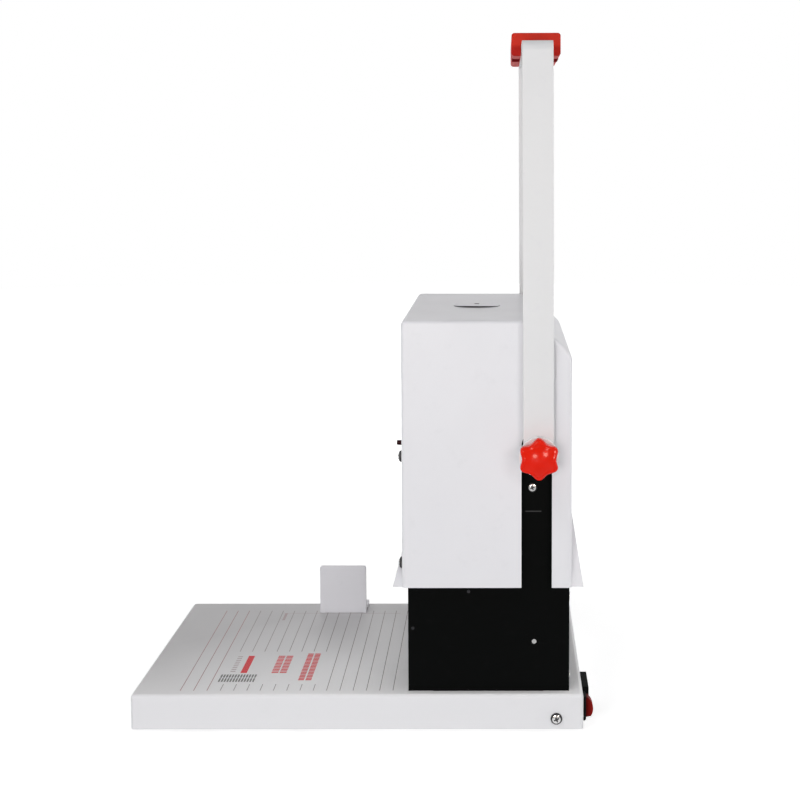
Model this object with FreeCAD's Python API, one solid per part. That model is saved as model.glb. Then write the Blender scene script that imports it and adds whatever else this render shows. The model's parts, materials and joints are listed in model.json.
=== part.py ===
import FreeCAD, Part
import math
import os

# Three-hole thread binding machine, in millimetres.
# X runs along the machine's width, +X to the operator's right hand.
# The operator stands at -Y and pulls the lever towards -Y. +Z is up, and the floor is z = 0.
# The origin lies on the floor, under the middle of the whole object.

V = FreeCAD.Vector
os.makedirs("parts", exist_ok=True)

# Base: folded sheet tray over a thick bottom plate
base_width = 350.0
base_depth = 450.0
base_height = 35.5
foot_height = 3.5
tray_sheet = 1.5
tray_edge_radius = 4.0
bottom_plate = 3.0
bottom_plate_recess = 0.5
bottom_plate_fit = 0.3
tab_width = 24.0
tab_height = 20.0
tab_sheet = 2.0
wall_hole_fit = 0.2

# Feet and their screws
foot_radius = 12.0
foot_inset = 32.0
foot_taper = 1.5
foot_pocket_radius = 5.5
foot_pocket_depth = 2.0
foot_screw_radius = 2.0
foot_screw_head_radius = 4.0
foot_screw_head = 1.6
foot_screw_reach = 3.0

# Drills and the line they stand on
drill_line_from_rear = 108.0
drill_radius = 3.5
drill_bore_radius = 2.5
drill_collar_radius = 9.0
drill_shank_radius = 4.0
drill_shank_length = 30.0
drill_exposed = 63.5
drill_bite = 1.0
throat_height = 55.0

# Cutting pads and the bar under them
pad_radius = 12.0
pad_thickness = 8.0
pad_pit_radius = 4.5
pad_pit_depth = 1.5
pad_fit = 0.1
anvil_half_depth = 17.0
anvil_end_margin = 28.0

# Side plates
side_inset = 12.0
side_sheet = 3.0
side_rear_reach = 94.0
side_step_gap = 1.0
side_step = 4.5
side_chamfer_gap = 2.5
tongue_front_reach = 42.0
tongue_rear_reach = 68.0
tongue_slot_fit = 0.3
foot_flange_width = 23.0
front_flange_width = 20.5
front_flange_low = 117.0
front_flange_high = 251.0
rear_flange_width = 16.0
rear_flange_low = 6.0
plate_bolt_radius = 3.0
plate_bolt_head_radius = 5.0
plate_bolt_head = 4.0
bolt_head_sides = 6
plate_bolt_pitch = 42.0
plate_bolt_inset = 11.0

# Rivets and pins that show on the side plates
rivet_radius = 1.6
low_rivet_from_front = 4.6
low_rivet_rise = 8.9
high_rivet_from_line = 6.2
high_rivet_rise = 46.0
gauge_pin_radius = 2.3
gauge_pin_from_line = 59.0
gauge_pin_height = 50.5
gauge_pin_proud = 0.4
gauge_pin_inside = 1.0

# Lever, its shaft and the gearing
gear_module = 2.0
sector_teeth = 38
pressure_angle = 20.0
tooth_thinning = 0.12
root_depth = 2.5
lever_swing_degrees = 88.0
rack_line_behind_drills = 24.9
pivot_height = 240.0
shaft_radius = 8.0
shaft_flat = 6.0
shaft_running_gap = 0.05
sector_width = 12.0
sector_side_gap = 20.0
sector_hub_radius = 18.0
sector_hub_over = 2.0
sector_pin_radius = 2.5
sector_spare_teeth = 2
sector_in_hub = 4.0
stud_radius = 5.0
stud_length = 17.0

# Shaft bushes: a flange with two screws on the inside of each side plate
bush_body_radius = 11.0
bush_flange_radius = 16.0
bush_flange = 5.0
bush_lug_radius = 8.0
bush_boss = 5.0
bush_outer_reach = 2.0
bush_screw_rise = 34.0
bush_screw_shift = 5.9

# Pan-head screws of the frame
frame_screw_radius = 2.5
frame_screw_head_radius = 4.9
frame_screw_head = 3.0

# Pan-head screws of the casings
cover_screw_radius = 3.0
cover_screw_head_radius = 5.8
cover_screw_head = 4.0
cover_screw_reach = 5.0
cross_slot_width = 1.4
cross_slot_length = 6.4
cross_slot_depth = 1.6
shank_in_head = 0.2
base_screw_from_rear = 27.0
base_screw_height = 11.0

# Guide plate, posts and bridge
guide_plate = 4.0
guide_plate_behind = 21.0
guide_plate_front_lip = 54.0
guide_plate_front_gap = 0.4
guide_plate_end_rise = 48.0
guide_hole_radius = 4.5
post_radius = 8.0
post_side_gap = 44.0
post_screw_radius = 3.0
post_screw_head_radius = 5.5
post_screw_reach = 14.0
bridge_plate = 4.0
bridge_above_racks = 18.5
bridge_flange = 26.0
bridge_front_reach = 54.0
bridge_rear_reach = 28.0
bridge_screw_inset = 16.0

# Drilling head
head_plate = 8.0
head_plate_gap = 56.0
head_side_gap = 20.0
head_front_reach = 62.0
head_rear_reach = 18.0
head_rack_gap = 2.0
head_floor_gap = 15.3
bearing_radius = 14.0
journal_radius = 6.0
spindle_radius = 8.0
spindle_stub = 12.0
gear_post_gap = 1.9
# Wheels in steps of four teeth keep a tooth facing a gap at each mesh of the straight train.
wheel_step_teeth = 4
post_reach_count = 5
gear_width = 10.0
gear_above_plate = 26.0
axial_gap = 0.2
idler_pin_radius = 5.0
guide_bush_radius = 12.0
guide_bush_over = 6.0
spacer_radius = 7.0
spacer_front = 48.0
spacer_end_margin = 9.0
spacer_motor_gap = 4.0
side_motor_gap = 0.4
head_screw_radius = 2.5
head_screw_head_radius = 4.25
head_screw_head = 5.0
head_screw_socket_radius = 2.0
head_screw_socket_depth = 2.5
head_screw_reach = 10.0
rack_body = 11.5
rack_spare_teeth = 2

# Motor on the head
motor_radius = 28.0
motor_height = 78.0
motor_cap = 18.0
motor_wall = 3.0
motor_pilot_radius = 11.0
motor_pinion_teeth = 18
motor_shaft_radius = 5.0
motor_screw_circle = 22.0
motor_screw_count = 4
motor_boss_wall = 5.0
motor_air_gap = 1.0
pinion_stub = 4.0
rotor_end_gap = 3.0
shaft_end_gap = 2.0

# Springs that lift the head
spring_side_gap = 60.0
spring_before_line = 40.0
spring_radius = 7.0
spring_wire_radius = 1.0
spring_turns = 20

# Back gauge and rear cover
gauge_behind_line = 22.0
gauge_sheet = 2.0
gauge_depth = 44.0
gauge_side_gap = 0.3
gauge_floor_gap = 0.3
gauge_top_gap = 1.0
gauge_ear_height = 34.0
rear_cover_sheet = 1.5
rear_cover_gap = 0.3
rear_cover_height = 140.0
rear_screw_low = 14.0
rear_screw_high = 94.0

# Hood
hood_wall = 2.5
hood_side_reach = 9.0
hood_front_gap = 2.9
hood_rear_gap = 3.9
hood_bottom = 107.0
hood_above_bridge = 31.0
hood_front_radius = 5.0
hood_side_radius = 4.0
hood_chamfer = 34.0
hood_chamfer_radius = 14.0
hood_seat_gap = 0.3
skirt_inset = 4.0
skirt_top_inset = 32.0
front_skirt_height = 31.0
front_skirt_out = 9.5
rear_skirt_height = 76.0
rear_skirt_out = 12.0
slot_half_width = 15.0
slot_before_pivot = 1.7
slot_above_pivot = 24.0
hood_screw_inset = 7.0
hood_screw_low = 129.0
hood_screw_high = 236.0
lamp_radius = 2.5
lamp_inset = 20.0
lamp_height = 249.0
lamp_reach = 5.5
lamp_flange = 0.8
lamp_fit = 0.2

# Round cap on the hood
cap_radius = 24.2
cap_height = 2.0
cap_plug_radius = 20.0
cap_plug_depth = 8.0
cap_fit = 0.15
cap_slot_length = 16.0
cap_slot_width = 3.2
cap_slot_depth = 1.2
cap_edge_radius = 0.8

# Lever bar, grip and knobs
arm_width = 30.0
arm_sheet = 4.0
arm_hood_gap = 6.0
arm_length = 402.0
arm_bend_radius = 10.0
lever_lean_degrees = 0.23
grip_length = 198.0
grip_width = 49.3
grip_top = 12.6
grip_leg = 23.0
grip_fit = 0.15
grip_edge_radius = 3.0
spacer_sleeve_radius = 12.0
disc_radius = 19.4
disc_thickness = 3.0
knob_disc_gap = 0.3
knob_lobes = 6
knob_core_radius = 15.3
knob_lobe_radius = 6.2
knob_reach = 20.5
knob_stem = 5.0
knob_stem_radius = 10.0
knob_thickness = 17.0
knob_dome_radius = 34.0
knob_bore_spare = 0.5

# Side stop and its magnets
stop_width = 54.0
stop_height = 56.0
stop_sheet = 3.0
stop_foot = 45.0
stop_foot_sheet = 4.4
stop_face_inset = 45.0
stop_front_from_line = 186.0
stop_corner_radius = 3.0
magnet_radius = 6.0
magnet_depth = 3.0
magnet_spacing = 30.0

# Mains switch
switch_inset = 15.0
switch_centre = 19.0
switch_width = 16.0
switch_height = 25.0
switch_bezel = 3.0
switch_bezel_taper = 1.2
switch_body_inset = 0.5
switch_body_depth = 20.0
switch_wall = 1.2
rocker_side_gap = 0.3
rocker_end_gap = 1.0
rocker_reach = 10.0
rocker_dome_centre = 4.9
rocker_neck = 3.0
rocker_throw_degrees = 20.0
rocker_pin_radius = 1.2

# Mains inlet
inlet_inset = 67.0
inlet_centre = 17.0
inlet_width = 56.0
inlet_height = 26.6
inlet_bezel = 7.0
inlet_body_width = 30.0
inlet_body_height = 22.0
inlet_body_depth = 18.0
inlet_mouth_width = 24.5
inlet_mouth_height = 16.5
inlet_mouth_depth = 17.0
inlet_corner = 3.0
blade_width = 2.0
blade_height = 4.0
blade_length = 13.0
blade_spacing = 14.0
blade_row = 2.0

# Motor board in the base
board_width = 90.0
board_depth = 60.0
board_sheet = 1.6
board_post = 6.0
board_post_radius = 3.5
board_inset = 5.0
board_from_front = 150.0
board_x = 60.0
transformer_from_end = 12.0
transformer_width = 26.0
transformer_depth = 28.0
transformer_height = 16.0
capacitor_from_end = 54.0
capacitor_radius = 8.0
capacitor_height = 14.0
terminals_from_end = 70.0
terminals_width = 10.0
terminals_depth = 32.0
terminals_height = 10.0

# Values that follow from the sizes above
base_top = foot_height + base_height
base_half = base_width / 2
base_front = -(base_depth + rocker_reach) / 2
base_rear = base_front + base_depth
bottom_low = foot_height + bottom_plate_recess
bottom_top = bottom_low + bottom_plate
bottom_half = base_half - tray_sheet - bottom_plate_fit
drill_line = base_rear - drill_line_from_rear
side_outer = base_half - side_inset
side_inner = side_outer - side_sheet
sector_inner_x = side_inner - sector_side_gap - sector_width
post_x = side_inner - post_side_gap
# Two wheels reach from the middle spindle to an outer one, whose own radius ends at the post's bush.
wheel_room = (post_x - guide_bush_radius - gear_module - gear_post_gap) / post_reach_count
spindle_gear_teeth = wheel_step_teeth * math.floor(2 * wheel_room / gear_module / wheel_step_teeth)
spindle_gear_reach = gear_module * spindle_gear_teeth / 2
hole_spacing = 4 * spindle_gear_reach
spindle_places = (-hole_spacing, 0.0, hole_spacing)
pinion_reach = gear_module * motor_pinion_teeth / 2
motor_x = hole_spacing / 2
motor_y = drill_line - spindle_gear_reach - pinion_reach
plate_front = motor_y - motor_radius - side_motor_gap
spacer_inner_x = motor_x + motor_radius + spacer_motor_gap
head_half_width = side_inner - head_side_gap
spacer_outer_x = head_half_width - spacer_end_margin
spring_x = side_inner - spring_side_gap
hood_half_width = side_outer + hood_side_reach
hood_screw_x = side_outer - hood_screw_inset
lamp_x = hood_half_width - lamp_inset
stop_face_x = base_half - stop_face_inset
switch_x = base_half - switch_inset
inlet_x = base_half - inlet_inset
plate_rear = drill_line + side_rear_reach
plate_rear_upper = plate_rear - side_step
gear_reach = gear_module * sector_teeth / 2
rack_line = drill_line + rack_line_behind_drills
pivot_y = rack_line + gear_reach
pivot_z = base_top + pivot_height
head_travel = gear_reach * math.radians(lever_swing_degrees)
drill_tip = base_top - drill_bite + head_travel
guide_low = base_top + throat_height
guide_top = guide_low + guide_plate
collar_low = drill_tip + drill_exposed
head_low = guide_top + head_floor_gap + head_travel
head_low_top = head_low + head_plate
head_high = head_low_top + head_plate_gap
head_top = head_high + head_plate
head_front = drill_line - head_front_reach
rack_root = rack_line - root_depth
head_back = rack_root - rack_body
tooth_pitch = math.pi * gear_module
rack_teeth = math.ceil(head_travel / tooth_pitch) + 2 * rack_spare_teeth
rack_first_tooth = pivot_z - (rack_spare_teeth - 0.5) * tooth_pitch
rack_top = rack_first_tooth + rack_teeth * tooth_pitch
bridge_low = rack_top + bridge_above_racks
bridge_top = bridge_low + bridge_plate
hood_low = base_top + hood_bottom
hood_high = bridge_top + hood_above_bridge
step_z = hood_low - side_step_gap
hood_inner_top = hood_high - hood_wall
hood_front = plate_front - hood_front_gap - hood_wall
hood_rear = plate_rear_upper + hood_rear_gap + hood_wall
arm_inner = hood_half_width + arm_hood_gap
arm_outer = arm_inner + arm_sheet
arm_top = pivot_z + arm_length
stop_front = drill_line - stop_front_from_line
gear_low = head_low_top + gear_above_plate
idler_places = (-hole_spacing / 2, hole_spacing / 2)


def block(x0, x1, y0, y1, z0, z1):
    """Box between two corners."""
    return Part.makeBox(x1 - x0, y1 - y0, z1 - z0, V(x0, y0, z0))


def along_x(x0, x1, y, z, radius):
    """Cylinder along X."""
    return Part.makeCylinder(radius, x1 - x0, V(x0, y, z), V(1, 0, 0))


def along_y(x, y0, y1, z, radius):
    """Cylinder along Y."""
    return Part.makeCylinder(radius, y1 - y0, V(x, y0, z), V(0, 1, 0))


def along_z(x, y, z0, z1, radius):
    """Cylinder along Z."""
    return Part.makeCylinder(radius, z1 - z0, V(x, y, z0))


def prism(points, direction):
    """Solid swept from a closed outline of corner points."""
    outline = Part.makePolygon(points + points[:1])
    return Part.Face(outline).extrude(direction)


def polar(radius, angle):
    """Point about the origin in the XY plane, its angle in radians."""
    return V(radius * math.cos(angle), radius * math.sin(angle), 0)


def side_prism(corners, x0, x1):
    """Solid between x0 and x1 from an outline of (y, z) corners."""
    return prism([V(x0, y, z) for y, z in corners], V(x1 - x0, 0, 0))


def mirrored(shape):
    """The same piece on the machine's other side."""
    return shape.mirror(V(0, 0, 0), V(1, 0, 0))


def both_sides(shape):
    """The piece and its mirror image."""
    return [shape, mirrored(shape)]


def edges_at(shape, test):
    """Edges whose two end points both pass the test."""
    found = []
    for edge in shape.Edges:
        ends = [vertex.Point for vertex in edge.Vertexes]
        if len(ends) == 2 and all(test(point) for point in ends):
            found.append(edge)
    return found


def near(a, b):
    return abs(a - b) < 1e-4


def save(node, *shapes):
    """Write one node, as one solid or as a group of separate solids."""
    solids = [solid for shape in shapes for solid in shape.Solids]
    result = solids[0] if len(solids) == 1 else Part.makeCompound(solids)
    result.exportStep("parts/" + node + ".step")


def turned_to(shape, axis, place):
    """A piece drawn along +Z from the origin, laid along another axis at its place."""
    moved = shape.copy()
    moved.Placement = FreeCAD.Placement(place, FreeCAD.Rotation(V(0, 0, 1), axis))
    return moved


def pan_screw(shank_radius, head_radius, head, reach):
    """Pan-head screw with a cross slot: the head stands on the origin, the shank goes down."""
    shank = along_z(0, 0, -reach, shank_in_head, shank_radius)
    dome_radius = (head_radius ** 2 + head ** 2) / (2 * head)
    dome = Part.makeSphere(dome_radius, V(0, 0, head - dome_radius))
    cap = along_z(0, 0, 0, head, head_radius).common(dome)
    half_length = cross_slot_length / 2 * head_radius / cover_screw_head_radius
    half_width = cross_slot_width / 2 * head_radius / cover_screw_head_radius
    slot_floor = head - cross_slot_depth * head / cover_screw_head
    one = block(-half_length, half_length, -half_width, half_width, slot_floor, head)
    other = block(-half_width, half_width, -half_length, half_length, slot_floor, head)
    return cap.cut(one.fuse(other)).fuse(shank).removeSplitter()


def socket_screw():
    """Socket-head screw of the drilling head, its head on the origin."""
    head = along_z(0, 0, 0, head_screw_head, head_screw_head_radius)
    socket_floor = head_screw_head - head_screw_socket_depth
    socket = along_z(0, 0, socket_floor, head_screw_head, head_screw_socket_radius)
    shank = along_z(0, 0, -head_screw_reach, shank_in_head, head_screw_radius)
    return head.cut(socket).fuse(shank).removeSplitter()


def involute_point(base_radius, radius, start, sign):
    """Point of an involute flank at a radius, with the flank's foot at the angle start."""
    roll = math.sqrt(max(0.0, (radius / base_radius) ** 2 - 1))
    angle = start + sign * (roll - math.atan(roll))
    return polar(radius, angle)


def gear_outline(teeth, first, last, closing_radius):
    """Outline of the teeth first..last about the origin, tooth 0 at angle 0.

    A full wheel closes on itself. A sector closes through the two points at closing_radius.
    """
    pitch_radius = gear_module * teeth / 2
    base_radius = pitch_radius * math.cos(math.radians(pressure_angle))
    tip_radius = pitch_radius + gear_module
    root_radius = pitch_radius - root_depth
    pitch_angle = 2 * math.pi / teeth
    roll = math.sqrt((pitch_radius / base_radius) ** 2 - 1)
    half_tooth = pitch_angle / 4 - tooth_thinning / pitch_radius
    foot_angle = half_tooth + roll - math.atan(roll)
    foot_radius = max(base_radius, root_radius)
    flank = (foot_radius, (foot_radius + tip_radius) / 2, tip_radius)
    edges = []
    previous = None
    opening = None
    for index in range(first, last + 1):
        centre = index * pitch_angle
        low_root = polar(root_radius, centre - foot_angle)
        high_root = polar(root_radius, centre + foot_angle)
        low = [involute_point(base_radius, radius, centre - foot_angle, 1) for radius in flank]
        high = [involute_point(base_radius, radius, centre + foot_angle, -1) for radius in reversed(flank)]
        tip = polar(tip_radius, centre)
        if previous is None:
            opening = low_root
        else:
            valley = polar(root_radius, centre - pitch_angle / 2)
            edges.append(Part.Arc(previous, valley, low_root).toShape())
        if foot_radius > root_radius:
            edges.append(Part.LineSegment(low_root, low[0]).toShape())
        edges.append(Part.Arc(low[0], low[1], low[2]).toShape())
        edges.append(Part.Arc(low[2], tip, high[0]).toShape())
        edges.append(Part.Arc(high[0], high[1], high[2]).toShape())
        if foot_radius > root_radius:
            edges.append(Part.LineSegment(high[2], high_root).toShape())
        previous = high_root
    if closing_radius is None:
        valley = polar(root_radius, (last + 0.5) * pitch_angle)
        edges.append(Part.Arc(previous, valley, opening).toShape())
    else:
        end_angle = math.atan2(previous.y, previous.x)
        start_angle = math.atan2(opening.y, opening.x)
        far = polar(closing_radius, end_angle)
        close = polar(closing_radius, start_angle)
        edges.append(Part.LineSegment(previous, far).toShape())
        middle = polar(closing_radius, (start_angle + end_angle) / 2)
        edges.append(Part.Arc(far, middle, close).toShape())
        edges.append(Part.LineSegment(close, opening).toShape())
    return Part.Wire(edges)


def gear_wheel(teeth, width, turn):
    """Full spur wheel on the origin, from z = 0 up, turned by an angle in radians."""
    wheel = Part.Face(gear_outline(teeth, 0, teeth - 1, None)).extrude(V(0, 0, width))
    wheel.rotate(V(0, 0, 0), V(0, 0, 1), math.degrees(turn))
    return wheel


def base_tray():
    low = foot_height
    outer = block(-base_half, base_half, base_front, base_rear, low, base_top)
    upper = edges_at(outer, lambda p: near(p.z, base_top))
    upright = [e for e in outer.Edges if not near(e.Vertexes[0].Z, e.Vertexes[1].Z)]
    outer = outer.makeFillet(tray_edge_radius, upper + upright)
    inner_radius = tray_edge_radius - tray_sheet
    inner = block(-base_half + tray_sheet, base_half - tray_sheet, base_front + tray_sheet,
                  base_rear - tray_sheet, low - 1, base_top - tray_sheet)
    inner_upper = edges_at(inner, lambda p: near(p.z, base_top - tray_sheet))
    inner_upright = [e for e in inner.Edges if not near(e.Vertexes[0].Z, e.Vertexes[1].Z)]
    inner = inner.makeFillet(inner_radius, inner_upper + inner_upright)
    tray = outer.cut(inner)
    cuts = [tongue(tongue_slot_fit)]
    cuts.append(mirrored(cuts[0]))
    for x in spindle_places:
        cuts.append(along_z(x, drill_line, low, base_top + 1, pad_radius + pad_fit))
    screw_z = foot_height + base_screw_height
    cuts.append(along_x(-base_half - 1, base_half + 1, base_rear - base_screw_from_rear, screw_z,
                        cover_screw_radius + pad_fit))
    cuts.append(switch_opening())
    cuts.append(inlet_opening())
    save("base_tray", tray.cut(Part.makeCompound(cuts)))


def tongue(spare):
    """Where the right side plate goes down through the table, with some room around it."""
    return block(side_inner - spare, side_outer + spare, drill_line - tongue_front_reach - spare,
                 drill_line + tongue_rear_reach + spare, bottom_top, base_top + 1)


def bolt_places():
    """Bolts of the right side plate's foot."""
    middle = drill_line + (tongue_rear_reach - tongue_front_reach) / 2
    x = side_outer - foot_flange_width + plate_bolt_inset
    return [(x, middle + step * plate_bolt_pitch) for step in (-1, 0, 1)]


def foot_places():
    along = base_half - foot_inset
    front = base_front + foot_inset
    rear = base_rear - foot_inset
    return [(-along, front), (along, front), (-along, rear), (along, rear)]


def tab(x_wall, y_low, y_high):
    """Upturned tab of the bottom plate against the right side wall."""
    return block(x_wall - tab_sheet, x_wall, y_low, y_high, bottom_low, bottom_low + tab_height)


def base_plate():
    plate = block(-bottom_half, bottom_half, base_front + tray_sheet + bottom_plate_fit,
                  base_rear - tray_sheet - bottom_plate_fit, bottom_low, bottom_top)
    corners = [e for e in plate.Edges if not near(e.Vertexes[0].Z, e.Vertexes[1].Z)]
    plate = plate.makeFillet(tray_edge_radius - tray_sheet, corners)
    screw_y = base_rear - base_screw_from_rear
    screw_z = foot_height + base_screw_height
    pieces = both_sides(tab(bottom_half, screw_y - tab_width / 2, screw_y + tab_width / 2))
    pieces += both_sides(tab(bottom_half, base_front + foot_inset, base_front + foot_inset + tab_width))
    for piece in pieces:
        plate = plate.fuse(piece)
    cuts = [along_x(-base_half, base_half, screw_y, screw_z, cover_screw_radius)]
    for x, y in bolt_places():
        cuts += both_sides(along_z(x, y, 0, base_top, plate_bolt_radius))
    for x, y in foot_places():
        cuts.append(along_z(x, y, 0, base_top, foot_screw_radius))
    save("base_plate", plate.cut(Part.makeCompound(cuts)).removeSplitter())


def feet():
    rubber = []
    screws = []
    for x, y in foot_places():
        cone = Part.makeCone(foot_radius - foot_taper, foot_radius, bottom_low, V(x, y, 0))
        pocket = along_z(x, y, 0, foot_pocket_depth, foot_pocket_radius)
        hole = along_z(x, y, 0, bottom_low, foot_screw_radius)
        rubber.append(cone.cut(pocket).cut(hole))
        head_low = foot_pocket_depth - foot_screw_head
        head = along_z(x, y, head_low, foot_pocket_depth, foot_screw_head_radius)
        shank = along_z(x, y, foot_pocket_depth, bottom_top + foot_screw_reach, foot_screw_radius)
        screws.append(head.fuse(shank))
    save("rubber_feet", *rubber)
    save("foot_screws", *screws)


def anvil_and_pads():
    half_length = side_inner - anvil_end_margin
    bar = block(-half_length, half_length, drill_line - anvil_half_depth, drill_line + anvil_half_depth,
                bottom_top, base_top - tray_sheet)
    pads = []
    for x in spindle_places:
        bar = bar.cut(along_z(x, drill_line, base_top - pad_thickness, base_top, pad_radius + pad_fit))
        pad = along_z(x, drill_line, base_top - pad_thickness, base_top, pad_radius)
        pit = along_z(x, drill_line, base_top - pad_pit_depth, base_top, pad_pit_radius)
        pads.append(pad.cut(pit))
    save("anvil_bar", bar)
    save("drill_pads", *pads)


def cover_screws():
    """Four on the hood's front and one on each side wall of the base."""
    screw = pan_screw(cover_screw_radius, cover_screw_head_radius, cover_screw_head,
                      hood_wall + hood_front_gap + side_sheet + cover_screw_reach)
    placed = []
    for z in (base_top + hood_screw_low, base_top + hood_screw_high):
        placed += both_sides(turned_to(screw, V(0, -1, 0), V(hood_screw_x, hood_front, z)))
    short = pan_screw(cover_screw_radius, cover_screw_head_radius, cover_screw_head,
                      tray_sheet + tab_sheet + cover_screw_reach)
    base_place = V(base_half, base_rear - base_screw_from_rear, foot_height + base_screw_height)
    placed += both_sides(turned_to(short, V(1, 0, 0), base_place))
    save("cover_screws", *placed)


def hood_chamfer_sum(inset):
    """y + z along the hood's rear chamfer, moved in by a distance."""
    return hood_rear - hood_chamfer + hood_high - inset * math.sqrt(2)


def bush_screw_places():
    return [(pivot_y - bush_screw_shift, pivot_z - bush_screw_rise),
            (pivot_y + bush_screw_shift, pivot_z + bush_screw_rise)]


def bridge_screw_places():
    z = bridge_low - bridge_flange / 2
    return [(drill_line - bridge_front_reach + bridge_screw_inset, z),
            (drill_line + bridge_rear_reach - bridge_screw_inset, z)]


def rear_screw_places():
    x = side_inner - rear_flange_width / 2 + side_sheet / 2
    return [(x, base_top + rear_screw_low), (x, base_top + rear_screw_high)]


def rivet_places():
    return [(plate_front + low_rivet_from_front, guide_low + low_rivet_rise),
            (drill_line - high_rivet_from_line, guide_low + high_rivet_rise)]


def gauge_pin_place():
    return (drill_line + gauge_pin_from_line, base_top + gauge_pin_height)


def right_side_plate():
    plate_top = hood_inner_top - hood_seat_gap
    chamfer = hood_chamfer_sum(hood_wall + side_chamfer_gap)
    front_tongue = drill_line - tongue_front_reach
    rear_tongue = drill_line + tongue_rear_reach
    corners = [(front_tongue, bottom_top), (rear_tongue, bottom_top), (rear_tongue, base_top),
               (plate_rear, base_top), (plate_rear, step_z), (plate_rear_upper, step_z),
               (plate_rear_upper, chamfer - plate_rear_upper), (chamfer - plate_top, plate_top),
               (plate_front, plate_top), (plate_front, base_top), (front_tongue, base_top)]
    plate = side_prism(corners, side_inner, side_outer)
    foot = block(side_outer - foot_flange_width, side_inner, front_tongue, rear_tongue,
                 bottom_top, bottom_top + side_sheet)
    front = block(side_outer - front_flange_width, side_inner, plate_front, plate_front + side_sheet,
                  base_top + front_flange_low, base_top + front_flange_high)
    rear = block(side_outer - rear_flange_width, side_inner, plate_rear - side_sheet, plate_rear,
                 base_top + rear_flange_low, step_z)
    plate = plate.fuse(foot).fuse(front).fuse(rear).removeSplitter()
    cuts = [along_x(side_inner - 1, side_outer + 1, pivot_y, pivot_z, bush_body_radius)]
    for y, z in bush_screw_places() + bridge_screw_places():
        cuts.append(along_x(side_inner - 1, side_outer + 1, y, z, frame_screw_radius))
    for y, z in rivet_places():
        cuts.append(along_x(side_inner - 1, side_outer + 1, y, z, rivet_radius))
    pin_y, pin_z = gauge_pin_place()
    cuts.append(along_x(side_inner - 1, side_outer + 1, pin_y, pin_z, gauge_pin_radius))
    for x, y in bolt_places():
        cuts.append(along_z(x, y, bottom_top - 1, base_top, plate_bolt_radius))
    for z in (base_top + hood_screw_low, base_top + hood_screw_high):
        cuts.append(along_y(hood_screw_x, plate_front - 1, plate_front + side_sheet + 1, z,
                            cover_screw_radius))
    for x, z in rear_screw_places():
        cuts.append(along_y(x, plate_rear - side_sheet - 1, plate_rear + 1, z, frame_screw_radius))
    return plate.cut(Part.makeCompound(cuts))


def side_plates():
    right = right_side_plate()
    save("side_plate_right", right)
    save("side_plate_left", mirrored(right))


def side_plate_bolts():
    seat = bottom_top + side_sheet
    bolts = []
    for x, y in bolt_places():
        corners = [V(x, y, seat).add(polar(plate_bolt_head_radius, 2 * math.pi * k / bolt_head_sides))
                   for k in range(bolt_head_sides)]
        head = prism(corners, V(0, 0, plate_bolt_head))
        bolts += both_sides(head.fuse(along_z(x, y, bottom_low, seat, plate_bolt_radius)))
    save("side_plate_bolts", *bolts)


def drill_guide_plate():
    front = plate_front + guide_plate_front_gap
    rear = drill_line + guide_plate_behind
    plate = block(-side_inner, side_inner, front, rear, guide_low, guide_top)
    lip = block(-side_inner, side_inner, front, front + side_sheet, guide_low,
                guide_low + guide_plate_front_lip)
    end = block(side_inner - side_sheet, side_inner, front, rear, guide_low,
                guide_top + guide_plate_end_rise)
    plate = plate.fuse(lip).fuse(end).fuse(mirrored(end)).removeSplitter()
    cuts = []
    for x in spindle_places:
        cuts.append(along_z(x, drill_line, guide_low - 1, guide_top + 1, guide_hole_radius))
    for x in (-post_x, post_x):
        cuts.append(post_screw(x, guide_low, 1))
    for y, z in rivet_places():
        cuts.append(along_x(-side_outer, side_outer, y, z, rivet_radius))
    save("drill_guide_plate", plate.cut(Part.makeCompound(cuts)))


def guide_plate_rivets():
    rivets = []
    for y, z in rivet_places():
        rivets += both_sides(along_x(side_inner - side_sheet, side_outer, y, z, rivet_radius))
    save("guide_plate_rivets", *rivets)


def post_screw(x, seat, sign):
    """Countersunk screw of a post, entering at z = seat and pointing up (1) or down (-1)."""
    depth = post_screw_head_radius - post_screw_radius
    start = V(x, drill_line, seat)
    way = V(0, 0, sign)
    cone = Part.makeCone(post_screw_head_radius, post_screw_radius, depth, start, way)
    shank = Part.makeCylinder(post_screw_radius, guide_plate + post_screw_reach, start, way)
    return cone.fuse(shank)


def posts():
    screws = []
    rods = []
    for x in (-post_x, post_x):
        low = post_screw(x, guide_low, 1)
        high = post_screw(x, bridge_top, -1)
        screws += [low, high]
        rods.append(along_z(x, drill_line, guide_top, bridge_low, post_radius).cut(low).cut(high))
    save("guide_rods", *rods)
    save("rod_screws", *screws)


def top_bridge():
    front = drill_line - bridge_front_reach
    rear = drill_line + bridge_rear_reach
    plate = block(-side_inner, side_inner, front, rear, bridge_low, bridge_top)
    end = block(side_inner - side_sheet, side_inner, front, rear, bridge_low - bridge_flange, bridge_top)
    plate = plate.fuse(end).fuse(mirrored(end)).removeSplitter()
    cuts = [post_screw(x, bridge_top, -1) for x in (-post_x, post_x)]
    for y, z in bridge_screw_places():
        cuts.append(along_x(-side_outer, side_outer, y, z, frame_screw_radius))
    save("top_bridge", plate.cut(Part.makeCompound(cuts)))


def frame_screws():
    """Bush screws and bridge screws on the side plates, and the rear cover's screws."""
    screw = pan_screw(frame_screw_radius, frame_screw_head_radius, frame_screw_head,
                      side_sheet + bush_flange)
    placed = []
    for y, z in bush_screw_places() + bridge_screw_places():
        placed += both_sides(turned_to(screw, V(1, 0, 0), V(side_outer, y, z)))
    for x, z in rear_screw_places():
        placed += both_sides(turned_to(screw, V(0, 1, 0), V(x, plate_rear, z)))
    save("frame_screws", *placed)


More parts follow.
